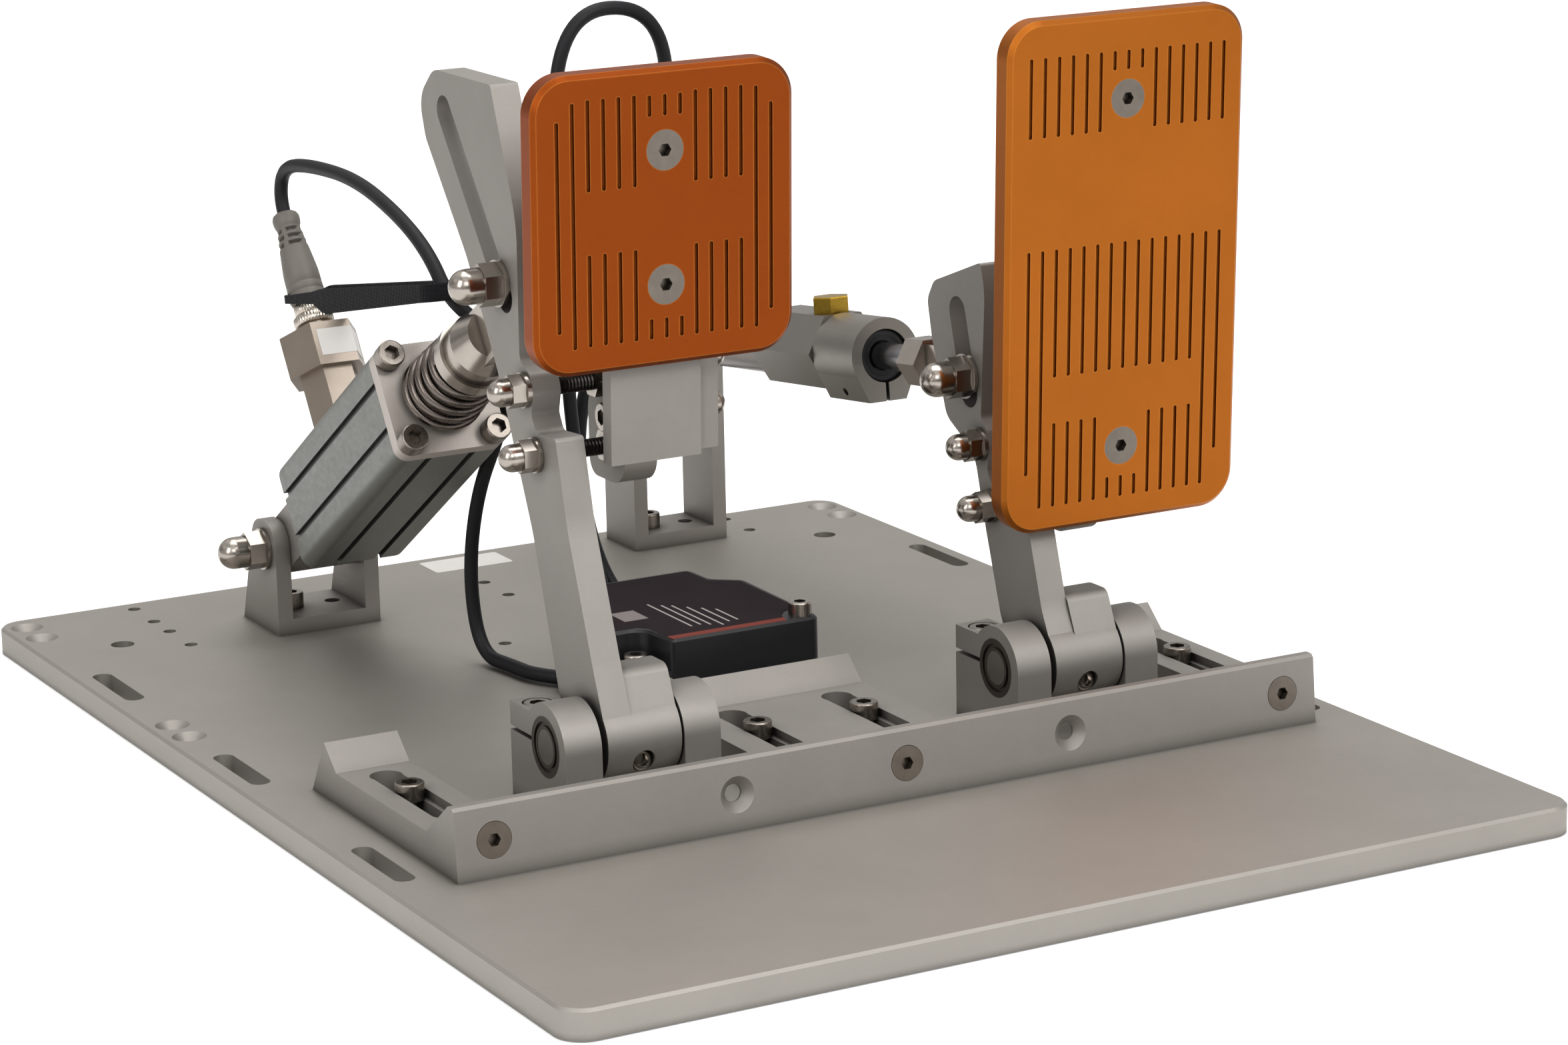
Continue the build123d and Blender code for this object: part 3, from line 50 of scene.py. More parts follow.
# The viewpoint: a long lens about a metre and a half in front of the set, to
# its left and a little above it, rolled by a degree as the camera was held.
turned, raised, rolled = math.radians(-28.5857), math.radians(14.1146), math.radians(-1.1815)
viewpoint = (-0.69799, -1.33038, 0.45508)
focal_length, film_width = 100.468, 36.0
back = Vector((math.sin(turned) * math.cos(raised), -math.cos(turned) * math.cos(raised), math.sin(raised)))
level = (-back).cross(Vector((0, 0, 1))).normalized()
upright = level.cross(-back)
right = math.cos(rolled) * level + math.sin(rolled) * upright
up = -math.sin(rolled) * level + math.cos(rolled) * upright
lens = bpy.data.cameras.new("photo_view")
lens.lens = focal_length
lens.sensor_width = film_width
camera = bpy.data.objects.new("photo_view", lens)
facing = Matrix((right, up, back)).transposed().to_4x4()
camera.matrix_world = Matrix.Translation(viewpoint) @ facing
bpy.context.scene.collection.objects.link(camera)
bpy.context.scene.camera = camera
bpy.context.scene.view_settings.view_transform = "Standard"


# The two cables: a round flexible lead of 5.2 mm in a smooth dull jacket of
# black polyurethane. One runs from the pressure sensor to the control box, and
# the other stands up behind the pads in a tall loop and goes back into the box.
def linear(colour):
    """The linear red, green, blue and alpha of a colour written as #RRGGBB."""
    shares = [int(colour[place:place + 2], 16) / 255 for place in (1, 3, 5)]
    return tuple(share / 12.92 if share <= 0.04045 else ((share + 0.055) / 1.055) ** 2.4
                 for share in shares) + (1.0,)


def add(tree, kind, settings=None, **inputs):
    """Adds one node, sets its options, and fills or links the named inputs."""
    made = tree.nodes.new("ShaderNode" + kind)
    for name, value in (settings or {}).items():
        setattr(made, name, value)
    for name, value in inputs.items():
        key = int(name[1:]) if name[0] == "i" and name[1:].isdigit() else name.replace("_", " ")
        if isinstance(value, bpy.types.NodeSocket):
            tree.links.new(value, made.inputs[key])
        else:
            made.inputs[key].default_value = value
    return made


def finish_of(name, colour, metallic, roughness, grain, stretch=(1, 1, 1), relief=0.0, uneven=0.06,
              spread=0.08, patches=18.0, painted_shade=0.0, reach=3.0, extra=None):
    """A surface with a fine grain of so many millimetres, drawn out by stretch, that varies its roughness and
    its relief, slow patches of so many millimetres that make the colour a little uneven, and painted shade in
    grooves, gaps and corners, as far from a neighbouring surface as reach says."""
    made = bpy.data.materials.new(name)
    made.use_nodes = True
    tree = made.node_tree
    tree.nodes.clear()
    place = add(tree, "TexCoord").outputs["Object"]
    finest = tuple(1000 / grain / share for share in stretch)
    drawn = add(tree, "Mapping", Vector=place, Scale=finest).outputs[0]
    fine = add(tree, "TexNoise", Vector=drawn, Scale=1.0, Detail=3.0, Roughness=0.6).outputs["Fac"]
    slow = add(tree, "TexNoise", Vector=place, Scale=1000 / patches, Detail=4.0,
               Roughness=0.65).outputs["Fac"]
    tone = add(tree, "MapRange", i0=slow, i1=0.3, i2=0.7, i3=1 - uneven, i4=1 + uneven).outputs[0]
    base = add(tree, "RGB")
    base.outputs[0].default_value = linear(colour)
    toned = add(tree, "VectorMath", {"operation": "SCALE"}, i0=base.outputs[0], Scale=tone).outputs[0]
    # Painted shade: ambient occlusion darkens the colour in grooves, gaps, corners and sockets.
    if painted_shade:
        open_share = add(tree, "AmbientOcclusion", {"samples": 4}, Distance=reach / 1000).outputs["AO"]
        shade = add(tree, "MapRange", i0=open_share, i1=0.25, i2=0.95, i3=1 - painted_shade, i4=1.0).outputs[0]
        toned = add(tree, "VectorMath", {"operation": "SCALE"}, i0=toned, Scale=shade).outputs[0]
    rough = add(tree, "MapRange", i0=fine, i1=0.25, i2=0.75,
                i3=roughness - spread, i4=roughness + spread).outputs[0]
    shader = add(tree, "BsdfPrincipled", Base_Color=toned, Metallic=metallic, Roughness=rough)
    if relief:
        bump = add(tree, "Bump", Height=fine, Strength=1.0, Distance=relief / 1000)
        tree.links.new(bump.outputs[0], shader.inputs["Normal"])
    if extra:
        extra(tree, place, shader, toned)
    add(tree, "OutputMaterial", Surface=shader.outputs[0])
    return made


def paint(material, *names):
    """Gives CAD nodes a material in each of their object's slots."""
    for name in names:
        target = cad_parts[name]
        if not target.material_slots:
            target.data.materials.append(None)
        for place in target.material_slots:
            place.link = "OBJECT"
            place.material = material


def lead(name, route, thickness):
    """A round cable whose line is a smooth spline that the route's points, in millimetres, control."""
    curve = bpy.data.curves.new(name, "CURVE")
    curve.dimensions = "3D"
    curve.resolution_u = 16
    curve.bevel_depth = thickness / 2000
    curve.bevel_resolution = 5
    curve.use_fill_caps = True
    spline = curve.splines.new("NURBS")
    spline.points.add(len(route) - 1)
    for point, spot in zip(spline.points, route):
        point.co = (*(measure / 1000 for measure in spot), 1.0)
    spline.order_u = 3
    spline.use_endpoint_u = True
    made = bpy.data.objects.new(name, curve)
    bpy.context.scene.collection.objects.link(made)
    return made


def dull(tree, place, shader, toned):
    """A jacket that reflects little, at a constant share of the usual shine."""
    shader.inputs["Specular IOR Level"].default_value = 0.22


def add_piece(made, material, body, slot_name, *nodes):
    """Gives a piece its material and its body, and hides the CAD nodes that it stands for. slot_name is not
    used.
    """
    made.data.materials.append(material)
    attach(made, body)
    if nodes:
        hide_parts(*nodes)


cable_thickness = 5.2
sheath = finish_of("polyurethane_jacket", "#151518", 0.0, 0.52, 0.5, relief=0.01, uneven=0.12, patches=9.0,
                   extra=dull)
sensor_lead = lead("sensor_lead", [
    (-36.22, 54.27, 13.1), (-43.5, 63.4, 13.1), (-45.0, 78.0, 13.1), (-48.5, 99.0, 13.1),
    (-50.0, 104.0, 42.0), (-51.0, 92.0, 76.0), (-51.0, 70.0, 104.0), (-52.5, 52.0, 128.0),
    (-64.0, 48.0, 146.5), (-77.2, 51.5, 158.5), (-77.2, 67.0, 172.5), (-77.2, 92.0, 182.5),
    (-77.2, 130.0, 190.5), (-77.2, 172.0, 189.8), (-77.2, 198.5, 186.0), (-77.2, 204.3, 173.4),
    (-77.2, 200.2, 167.1)], cable_thickness)
loop_lead = lead("loop_lead", [
    (3.5, 74, 17), (2, 94, 17), (-11, 94, 90), (-13, 94, 170), (-13.2, 94, 249.5), (33.5, 97, 249.5),
    (37, 101, 195), (27, 105, 150), (-7, 105, 100), (5.5, 105, 24.5), (9.5, 74, 24.5)], cable_thickness)
add_piece(sensor_lead, sheath, "brake_cylinder", "cable_sheath", "sensor_cable")
add_piece(loop_lead, sheath, "base", "cable_sheath", "loop_cable")


# The strap: a flat band of black woven hook and loop, 10 mm wide and 1.2 mm
# thick, folded narrow round the foot of the sensor's plug and laid round the
# cable at its other end, held by its own hooks.
def grid_piece(name, points, closed):
    """A smooth mesh from a grid of points in millimetres: each row is a ring, joined to the next one, and the
    last row to the first where closed."""
    rows, columns = points.shape[:2]
    mesh = bpy.data.meshes.new(name)
    row = np.arange(rows if closed else rows - 1)[:, None]
    column = np.arange(columns)[None, :]
    after, beside = (row + 1) % rows, (column + 1) % columns
    faces = np.stack([row * columns + column, after * columns + column, after * columns + beside,
                      row * columns + beside], -1).reshape(-1, 4)
    mesh.from_pydata((points.reshape(-1, 3) / 1000).tolist(), [], faces.tolist())
    mesh.shade_smooth()
    made = bpy.data.objects.new(name, mesh)
    bpy.context.scene.collection.objects.link(made)
    return made


def close_ends(made, rings):
    """Adds a flat face to each of the rings of vertices given in order."""
    mesh = made.data
    spots = [tuple(vertex.co) for vertex in mesh.vertices]
    faces = [tuple(face.vertices) for face in mesh.polygons]
    faces += [tuple(int(place) for place in ring) for ring in rings]
    mesh.clear_geometry()
    mesh.from_pydata(spots, [], faces)
    mesh.shade_smooth()
    for face in list(mesh.polygons)[-len(rings):]:
        face.use_smooth = False


def outward(made):
    """Turns the faces of a closed mesh outward."""
    work = bmesh.new()
    work.from_mesh(made.data)
    bmesh.ops.recalc_face_normals(work, faces=work.faces)
    work.to_mesh(made.data)
    work.free()


def weave(tree, place, shader, toned):
    """Fine crossing ribs of a woven band: the product of two waves, 1.4 mm apart, raises the surface."""
    waves = [add(tree, "TexWave", {"bands_direction": way}, Vector=place, Scale=220.0, Distortion=1.0,
                 Detail=1.0, Detail_Scale=2.0).outputs["Fac"] for way in ("Y", "Z")]
    both = add(tree, "Math", {"operation": "MULTIPLY"}, i0=waves[0], i1=waves[1]).outputs[0]
    bump = add(tree, "Bump", Height=both, Strength=1.0, Distance=0.0002)
    tree.links.new(bump.outputs[0], shader.inputs["Normal"])
    shader.inputs["Sheen Weight"].default_value = 0.04
    shader.inputs["Specular IOR Level"].default_value = 0.1


def strap_band():
    """A closed band: half a turn round the plug, a straight run, half a turn round the cable and a straight
    run back. Its section is a slim oblong with drawn-in corners, and its lower and upper edges follow one
    height profile on the far side and one on the near side, mixed by the sine of the angle in between."""
    ahead, behind = math.pi / 2 - lean, 3 * math.pi / 2 + lean
    stations = [(0.0, plug_turn, ahead + (math.pi + 2 * lean) * step / arc_steps)
                for step in range(arc_steps + 1)]
    stations += [(share * run, plug_turn + share * (cable_turn - plug_turn), behind) for share in run_shares]
    stations += [(run, cable_turn, behind + (math.pi - 2 * lean) * step / arc_steps)
                 for step in range(arc_steps + 1)]
    stations += [(share * run, plug_turn + share * (cable_turn - plug_turn), ahead)
                 for share in reversed(run_shares)]
    band = []
    for along, radius, angle in stations:
        spots = []
        for grown, share in section_shares:
            reach = radius + grown * band_thickness
            spot = along + reach * math.cos(angle)
            far = 0.5 + 0.5 * math.sin(angle)
            low = (far * np.interp(spot, far_places, far_low)
                   + (1 - far) * np.interp(spot, near_places, near_low))
            high = (far * np.interp(spot, far_places, far_high)
                    + (1 - far) * np.interp(spot, near_places, near_high))
            spots.append(strap_from + strap_way * spot + strap_side * reach * math.sin(angle)
                         + strap_up * (low + share * (high - low)))
        band.append([tuple(spot) for spot in spots])
    return np.array(band)


plug_turn, cable_turn, band_thickness, arc_steps = 7.7, 8.8, 1.2, 28
strap_from, strap_to = Vector((-77.2, 180.5, 137.0)), Vector((-77.2, 54.5, 159.5))
strap_way = (strap_to - strap_from).normalized()
strap_side, run = Vector((1, 0, 0)), (strap_to - strap_from).length
strap_up = strap_way.cross(strap_side)
lean = math.asin((plug_turn - cable_turn) / run)
run_shares = [place / 32 for place in (0.8, 1.5, 2.5, 4, 5.5, 6.5, 7.5, 8.5, 9.5, 13, 18, 24, 29)]
section_shares = ((0.0, 0.08), (0.15, 0.0), (0.85, 0.0), (1.0, 0.08), (1.0, 0.92), (0.85, 1.0), (0.15, 1.0),
                  (0.0, 0.92))
far_places, far_low, far_high = [-8, 0, 4, run], [-0.3, -4.0, -5.4, -1.6], [2.9, 4.4, 5.0, 4.8]
near_places, near_low, near_high = [0, 26, 36, run], [-0.3, -0.7, -4.6, -1.6], [2.9, 3.9, 4.9, 4.8]
strap = grid_piece("hook_and_loop_strap", strap_band(), True)
outward(strap)
woven = finish_of("woven_strap", "#111114", 0.0, 0.8, 0.6, uneven=0.2, patches=5.0, extra=weave)
add_piece(strap, woven, "brake_cylinder", "strap_fabric", "cable_strap")


# The plug of the sensor's cable: a moulded grey overmould with two rings near
# its foot, a waist that tapers, rows of strain-relief slots and a round collar.
def turned_piece(name, origin, axis, profile, around, wave=None, across=None):
    """A turned form about an axis: each row of the profile is a distance along it and a radius, in
    millimetres, and wave scales the radius by the distance and the angle. A flat face closes each end."""
    axis = Vector(axis).normalized()
    first = (Vector(across) if across else axis.orthogonal()).normalized()
    second = axis.cross(first)
    rows = []
    for along, radius in profile:
        ring = []
        for step in range(around):
            angle = 2 * math.pi * step / around
            reach = radius * (wave(along, angle) if wave else 1.0)
            out = first * math.cos(angle) + second * math.sin(angle)
            ring.append(tuple(Vector(origin) + axis * along + out * reach))
        rows.append(ring)
    made = grid_piece(name, np.array(rows), False)
    close_ends(made, [range(around), range((len(profile) - 1) * around, len(profile) * around)])
    outward(made)
    return made


cylinder_way, cylinder_up = Vector((0, -0.83844, 0.54499)), Vector((0, 0.54499, 0.83844))
rear_pivot = Vector((-77.2, 185.0, 42.3))
sensor_foot = rear_pivot + cylinder_way * 55.3
slot_places, slot_half_width, row_turn = (99.6, 102.5, 105.4), 0.7, 0.15
slot_depth_share, bridge_share = 0.42, 0.38


def strain_slots(along, angle):
    """The slots of the strain relief: four short grooves in each of three rows, the outer rows turned a
    little. Each falls off with the fourth power of the distance, and narrow bridges part them."""
    depth = 0.0
    for row, middle in enumerate(slot_places):
        near = math.exp(-((along - middle) / slot_half_width) ** 4)
        sector = math.cos(2 * angle + (0 if row % 2 else row_turn))
        depth = max(depth, near * (slot_depth_share if abs(sector) > bridge_share else 0.0))
    return 1.0 - depth


taper_from, taper_length, taper_steps = 88.0, 19.0, 90
foot_radius, narrowing, taper_power = 6.8, 2.35, 1.1
plug_rows = [(76.0, 5.2), (76.0, 6.3), (76.3, 6.6), (77.5, 7.0), (79.6, 6.98), (79.9, 6.7), (80.3, 6.7),
             (80.6, 6.95), (82.8, 6.9), (83.1, 6.62), (83.5, 6.62), (83.8, 6.88), (taper_from, foot_radius)]
plug_rows += [(taper_from + taper_length * step / taper_steps,
               foot_radius - narrowing * (step / taper_steps) ** taper_power)
              for step in range(1, taper_steps + 1)]
plug_rows += [(107.4, 4.7), (108.2, 5.0), (109.6, 5.25), (111.2, 5.2), (112.4, 4.7), (113.0, 3.9),
              (113.2, 2.7)]
plug = turned_piece("cable_plug", sensor_foot, cylinder_up, plug_rows, 96, strain_slots, (1, 0, 0))
overmould = finish_of("plug_overmould", "#615C56", 0.0, 0.5, 0.25, relief=0.015, uneven=0.05)
add_piece(plug, overmould, "brake_cylinder", "grey_plastic", "sensor_plug")


# The coupling nut of the plug: nickel-plated brass, knurled in straight ribs
# on its wide foot and on its narrower sleeve, with a groove between them.
rib_count, rib_share, rib_level, rims, rim_fade = 36, 0.03, 0.6, (66.5, 71.0, 76.0), 0.5


def ribs(along, angle):
    """Straight knurling: the radius follows the size of a sine, once for each rib, and fades at the rims."""
    worn = min(1.0, max(0.0, min(abs(along - rim) for rim in rims) / rim_fade))
    return 1.0 + rib_share * worn * (abs(math.sin(rib_count / 2 * angle)) - rib_level)


nut_rows = [(66.5, 6.0), (66.5, 6.9), (67.0, 7.5), (68.5, 7.55), (70.2, 7.5), (70.7, 7.0), (71.0, 5.9),
            (71.3, 5.9), (71.6, 6.2), (73.5, 6.25), (75.4, 6.2), (76.0, 5.6)]
coupling = turned_piece("coupling_nut", sensor_foot, cylinder_up, nut_rows, 288, ribs)
nickel = finish_of("nickel_plate", "#C4BCB0", 1.0, 0.27, 0.3, relief=0.006, uneven=0.06)
add_piece(coupling, nickel, "brake_cylinder", "stainless", "sensor_plug_nut")


# The pressure sensor: a stainless hexagon body, drawn straight along its
# length, with a bare white label stuck on the flats that face the front.
paper = finish_of("coated_label_film", "#C9C6C2", 0.0, 0.4, 0.4, relief=0.004, uneven=0.03)
drawn_steel = finish_of("drawn_stainless", "#968B80", 1.0, 0.36, 0.35, relief=0.01, uneven=0.07)
paint(drawn_steel, "pressure_sensor")
label_low, label_high, film_under, film_over = 49.5, 60.0, 0.02, 0.14
flat_way, flat_turn = Vector((1, 0, 0)), math.pi / 6
front_out, side_out = Vector((0, 1)), Vector((math.cos(flat_turn), 0.5))
corner_out = Vector((0.5, math.cos(flat_turn))) / math.cos(flat_turn)


def label_strip():
    """A thin strip that lies on one flat and turns onto the next: each place of its line is moved off the
    steel along its own direction, to the film's underside and its face, at the lower and the upper edge."""
    strip = []
    for sideways, forward, out in ((-6.0, 13.5, front_out), (7.79, 13.5, corner_out), (13.2, 4.14, side_out)):
        strip.append([tuple(sensor_foot + flat_way * (sideways + out[0] * lift)
                            + cylinder_way * (forward + out[1] * lift) + cylinder_up * height)
                      for lift, height in ((film_under, label_low), (film_over, label_low),
                                           (film_over, label_high), (film_under, label_high))])
    return np.array(strip)


sensor_label = grid_piece("sensor_label", label_strip(), False)
close_ends(sensor_label, [range(4), range(8, 12)])
outward(sensor_label)
sensor_label.data.shade_flat()
add_piece(sensor_label, paper, "brake_cylinder", "grey_plastic")


# The base plate: 10 mm aluminium, bead-blasted and clear anodised, a warm
# grey, with a silky fine grain and a few faint rub marks.
def rubbed(tree, place, shader, toned):
    """Thin rub marks: stretched noise cut off high, which makes the surface smoother in short lines."""
    drawn = add(tree, "Mapping", Vector=place, Scale=(900.0, 25.0, 300.0), Rotation=(0, 0, 0.5)).outputs[0]
    mark = add(tree, "TexNoise", Vector=drawn, Scale=1.0, Detail=2.0).outputs["Fac"]
    cut = add(tree, "MapRange", i0=mark, i1=0.7, i2=0.76, i3=0.0, i4=0.09).outputs[0]
    old = shader.inputs["Roughness"].links[0].from_socket
    less = add(tree, "Math", {"operation": "SUBTRACT"}, i0=old, i1=cut).outputs[0]
    tree.links.new(less, shader.inputs["Roughness"])


blasted = finish_of("blasted_plate_aluminium", "#9B9791", 0.85, 0.56, 0.3, relief=0.012, uneven=0.035,
                    patches=45.0, painted_shade=0.75, extra=rubbed)
paint(blasted, "base_plate")


# The machined parts: heel rail, slot carriers, hinge blocks, pedal arms, tilt
# brackets and clevises, milled from aluminium and anodised in natural silver.
machined = finish_of("anodised_machined_aluminium", "#918D88", 0.8, 0.58, 0.3, relief=0.01, uneven=0.04,
                     patches=30.0, painted_shade=0.8, reach=6.0, extra=rubbed)
paint(machined, "heel_rail", "carrier_left", "carrier_middle", "carrier_right", "brake_hinge_block_left",
      "brake_hinge_block_right", "throttle_hinge_block_left", "throttle_hinge_block_right", "brake_pedal_arm",
      "throttle_pedal_arm", "brake_tilt_bracket", "throttle_tilt_bracket", "brake_pad_block",
      "throttle_pad_block", "brake_rear_bracket", "throttle_rear_bracket", "brake_cylinder_clevis")
# The cylinder's front plate: an aluminium colour painted lighter than the machined parts, painted light that
# stands for the light falling on its face, which looks forward and up.
lightened_front_plate = finish_of("front_plate_aluminium_painted_light", "#B7B0A9", 0.7, 0.5, 0.3, relief=0.01, uneven=0.04, patches=12.0,
                   painted_shade=0.75)
paint(lightened_front_plate, "brake_cylinder_front_plate")


# The cylinder and the damper: extruded and turned aluminium in a cooler
# silver, with faint lines of the extrusion along the body.
extruded = finish_of("extruded_cylinder_aluminium", "#7D7F7B", 0.9, 0.46, 0.25, (1, 14, 9), 0.012, 0.04,
                     patches=25.0, painted_shade=0.85)
turned_silver = finish_of("turned_silver_aluminium", "#87837D", 0.9, 0.4, 0.22, relief=0.006, uneven=0.04,
                          painted_shade=0.7)
steel_tube = finish_of("ground_damper_tube", "#6F6863", 1.0, 0.3, 0.2, uneven=0.02, spread=0.02, patches=60.0,
                       painted_shade=0.5)
paint(extruded, "brake_cylinder_body")
paint(turned_silver, "damper_clamp_collar", "damper_gland")
paint(steel_tube, "damper_tube")


# The pads: plates of aluminium, milled with grooves and a bevelled rim, bead
# blasted and anodised a satin copper orange.
def painted_bevel_highlight(tree, place, shader, toned):
    """Painted highlight on the bevels: where a rounded normal leaves the true one, a brighter colour is mixed
    in.
    """
    soft = add(tree, "Bevel", {"samples": 4}, Radius=0.0006).outputs[0]
    true = add(tree, "NewGeometry").outputs["True Normal"]
    meet = add(tree, "VectorMath", {"operation": "DOT_PRODUCT"}, i0=soft, i1=true).outputs["Value"]
    edge = add(tree, "MapRange", i0=meet, i1=0.985, i2=0.9, i3=0.0, i4=0.4).outputs[0]
    bright = add(tree, "Mix", {"data_type": "RGBA"}, i0=edge, i6=toned, i7=linear("#E39A45")).outputs[2]
    tree.links.new(bright, shader.inputs["Base Color"])


# Both pads: painted shade in the grooves, and a painted highlight on the bevelled edges.
brake_orange = finish_of("anodised_copper_orange", "#8A4116", 1.0, 0.45, 0.3, relief=0.012, uneven=0.05,
                         patches=35.0, painted_shade=0.72, reach=2.5, extra=painted_bevel_highlight)
throttle_orange = finish_of("anodised_amber_orange", "#A55E20", 1.0, 0.45, 0.3, relief=0.012, uneven=0.05,
                            patches=35.0, painted_shade=0.72, reach=2.5, extra=painted_bevel_highlight)
paint(brake_orange, "brake_pad")
paint(throttle_orange, "throttle_pad")


# Nuts, washers, bolts, the push rod, the rod end and the screws of the box:
#  turned and polished stainless steel, with a fine grain and painted shade in the sockets.
polished = finish_of("polished_stainless", "#A8A199", 1.0, 0.21, 0.2, relief=0.003, uneven=0.05, spread=0.06,
                     patches=6.0, painted_shade=0.6, reach=2.0)
paint(polished, "brake_nuts", "throttle_nuts", "brake_washers", "throttle_washers", "brake_tilt_bolts",
      "throttle_tilt_bolts", "rear_pivot_bolts", "rear_pivot_washers", "rear_pivot_nuts", "brake_push_rod",
      "throttle_rod_end", "brake_pivot_bolt", "throttle_pivot_bolt", "control_box_screws")


# The countersunk screws of the pads and the heel rail, with a flat turned face,
# duller than the others; the cap screws, rolled, and the damper's ground rod.
# All are stainless steel, with painted shade in the sockets.
faced = finish_of("faced_stainless", "#746D65", 1.0, 0.4, 0.3, relief=0.008, uneven=0.1, patches=5.0,
                  painted_shade=0.85, reach=2.0)
paint(faced, "rail_screws", "brake_pad_screws", "throttle_pad_screws")
rolled = finish_of("rolled_stainless", "#8B847C", 1.0, 0.28, 0.2, relief=0.005, uneven=0.06, patches=5.0,
                   painted_shade=0.85, reach=2.0)
paint(rolled, "cap_screws_m6", "front_plate_screws")
ground_rod = finish_of("ground_damper_rod", "#94959A", 1.0, 0.24, 0.3, (1, 12, 1), 0.002, 0.03, spread=0.04)
paint(ground_rod, "throttle_rod")


# The hinge: ground steel shafts with a dull grey end, in bearings of dark
# bronze-grey steel that show as a ring round each shaft.
ground_steel = finish_of("ground_shaft_steel", "#8B8782", 1.0, 0.35, 0.25, relief=0.006, uneven=0.08,
                         patches=5.0)
ring_steel = finish_of("dark_bearing_steel", "#5A5651", 1.0, 0.38, 0.25, relief=0.006, uneven=0.1,
                       patches=5.0)
paint(ground_steel, "brake_hinge_shaft", "throttle_hinge_shaft")
paint(ring_steel, "hinge_bearings")


# The studs that hold the pads' tilt brackets: blackened rod with a rolled
# thread, whose ridges are 1.25 mm apart along the rod.
thread_pitch, thread_relief = 1.25, 0.0006
bands_in_a_turn = 20


def thread(tree, place, shader, toned):
    """Ridges across the rod: a wave along its length, with a shallow slope to each side, raises the surface.
    At scale one the pattern has bands_in_a_turn ridges in each two pi metres."""
    ridge = add(tree, "TexWave", {"bands_direction": "X", "wave_profile": "TRI"}, Vector=place,
                Scale=1000 / thread_pitch / bands_in_a_turn * math.pi * 2, Distortion=0.0).outputs["Fac"]
    bump = add(tree, "Bump", Height=ridge, Strength=1.0, Distance=thread_relief)
    tree.links.new(bump.outputs[0], shader.inputs["Normal"])


rolled_thread = finish_of("rolled_black_thread", "#3B3735", 1.0, 0.34, 0.25, uneven=0.15, patches=5.0,
                          extra=thread)
paint(rolled_thread, "brake_studs", "throttle_studs")


# The set screws in the front of the pedals' hubs: short steel screws, sunk into
# a round hole, that clamp the arm to its shaft. The socket is drawn round.
def fine_profile(corners, bevel=0.35):
    """A profile through the corners, each inner one cut off by a short bevel, as long on both sides."""
    rows = [corners[0]]
    for before, here, after in zip(corners, corners[1:], corners[2:]):
        for other in (before, after):
            gap = math.dist(here, other)
            share = min(bevel / gap, 0.45) if gap else 0
            rows.append((here[0] + (other[0] - here[0]) * share, here[1] + (other[1] - here[1]) * share))
    rows.append(corners[-1])
    return rows


screw_rows = fine_profile([(0.0, 3.6), (0.0, 3.85), (2.6, 3.85), (3.3, 3.2), (3.3, 2.35), (3.3, 2.3)])
screw_rows += [(3.25, 2.28), (1.0, 2.2)]
screw_y, screw_z = -89.4, 27.3
for side, middle_x in (("brake", -78.6), ("throttle", 95.1)):
    screw = turned_piece(side + "_set_screw", (middle_x, screw_y, screw_z), (0, -1, 0), screw_rows, 72)
    add_piece(screw, polished, side + "_pedal", "stainless")


# The return spring on the push rod: 3.5 mm oil-hardened steel wire, wound in
# five and a half turns that taper a little towards the rod's cap.
def coil_spring(name, start, end, turns_made, wire, wide, narrow, closed_turns=0.75, closed_rise=0.075,
                across=14, steps=420):
    """Wire round a helix: the distance grows with the angle, slowly at both ends where the turns close, and
    the radius goes from wide to narrow. The wire's circle lies in the plane of the axis, and both ends of the
    spring are cut flat."""
    rows = []
    for step in range(steps + 1):
        share = step / steps
        angle = 2 * math.pi * turns_made * share
        closed = closed_turns / turns_made
        rise = np.interp(share, [0, closed, 1 - closed, 1], [0.0, closed_rise, 1 - closed_rise, 1.0])
        along = start + wire * 0.5 + (end - start - wire) * rise
        radius = wide + (narrow - wide) * share
        out = Vector((1, 0, 0)) * math.cos(angle) + cylinder_up * math.sin(angle)
        middle = rear_pivot + cylinder_way * along + out * radius
        ring = []
        for part in range(across):
            turn = 2 * math.pi * part / across
            spot = middle + out * math.cos(turn) * wire / 2 + cylinder_way * math.sin(turn) * wire / 2
            reach = (spot - rear_pivot).dot(cylinder_way)
            spot += cylinder_way * (min(max(reach, start), end) - reach)
            ring.append(tuple(spot))
        rows.append(ring)
    made = grid_piece(name, np.array(rows), False)
    close_ends(made, [range(across), range(steps * across, (steps + 1) * across)])
    outward(made)
    return made


spring = coil_spring("return_spring", start=146.45, end=179.95, turns_made=5.5, wire=3.5, wide=13.7,
                     narrow=11.9)
spring_steel = finish_of("oil_hardened_spring_wire", "#6A625D", 1.0, 0.27, 0.25, relief=0.006, uneven=0.15,
                         patches=6.0)
add_piece(spring, spring_steel, "brake_rod", "dark_steel", "brake_spring")
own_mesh(spring)


# The bleed screw of the damper: a short hexagon screw turned from brass, and
# screwed down into the top of the gland.
brass = finish_of("turned_brass", "#AD8D37", 1.0, 0.3, 0.25, relief=0.005, uneven=0.04, patches=5.0,
                  painted_shade=0.5)
paint(brass, "damper_bleed_screw")


# The control box: a moulded black plastic tray under a lid of the same, with a
# thin dark film on the lid, printed with a dark red stripe and plain marks.
tray = finish_of("black_moulded_plastic", "#0E0E11", 0.0, 0.42, 0.4, relief=0.008, uneven=0.1)
paint(tray, "control_box_base", "control_box_lid")


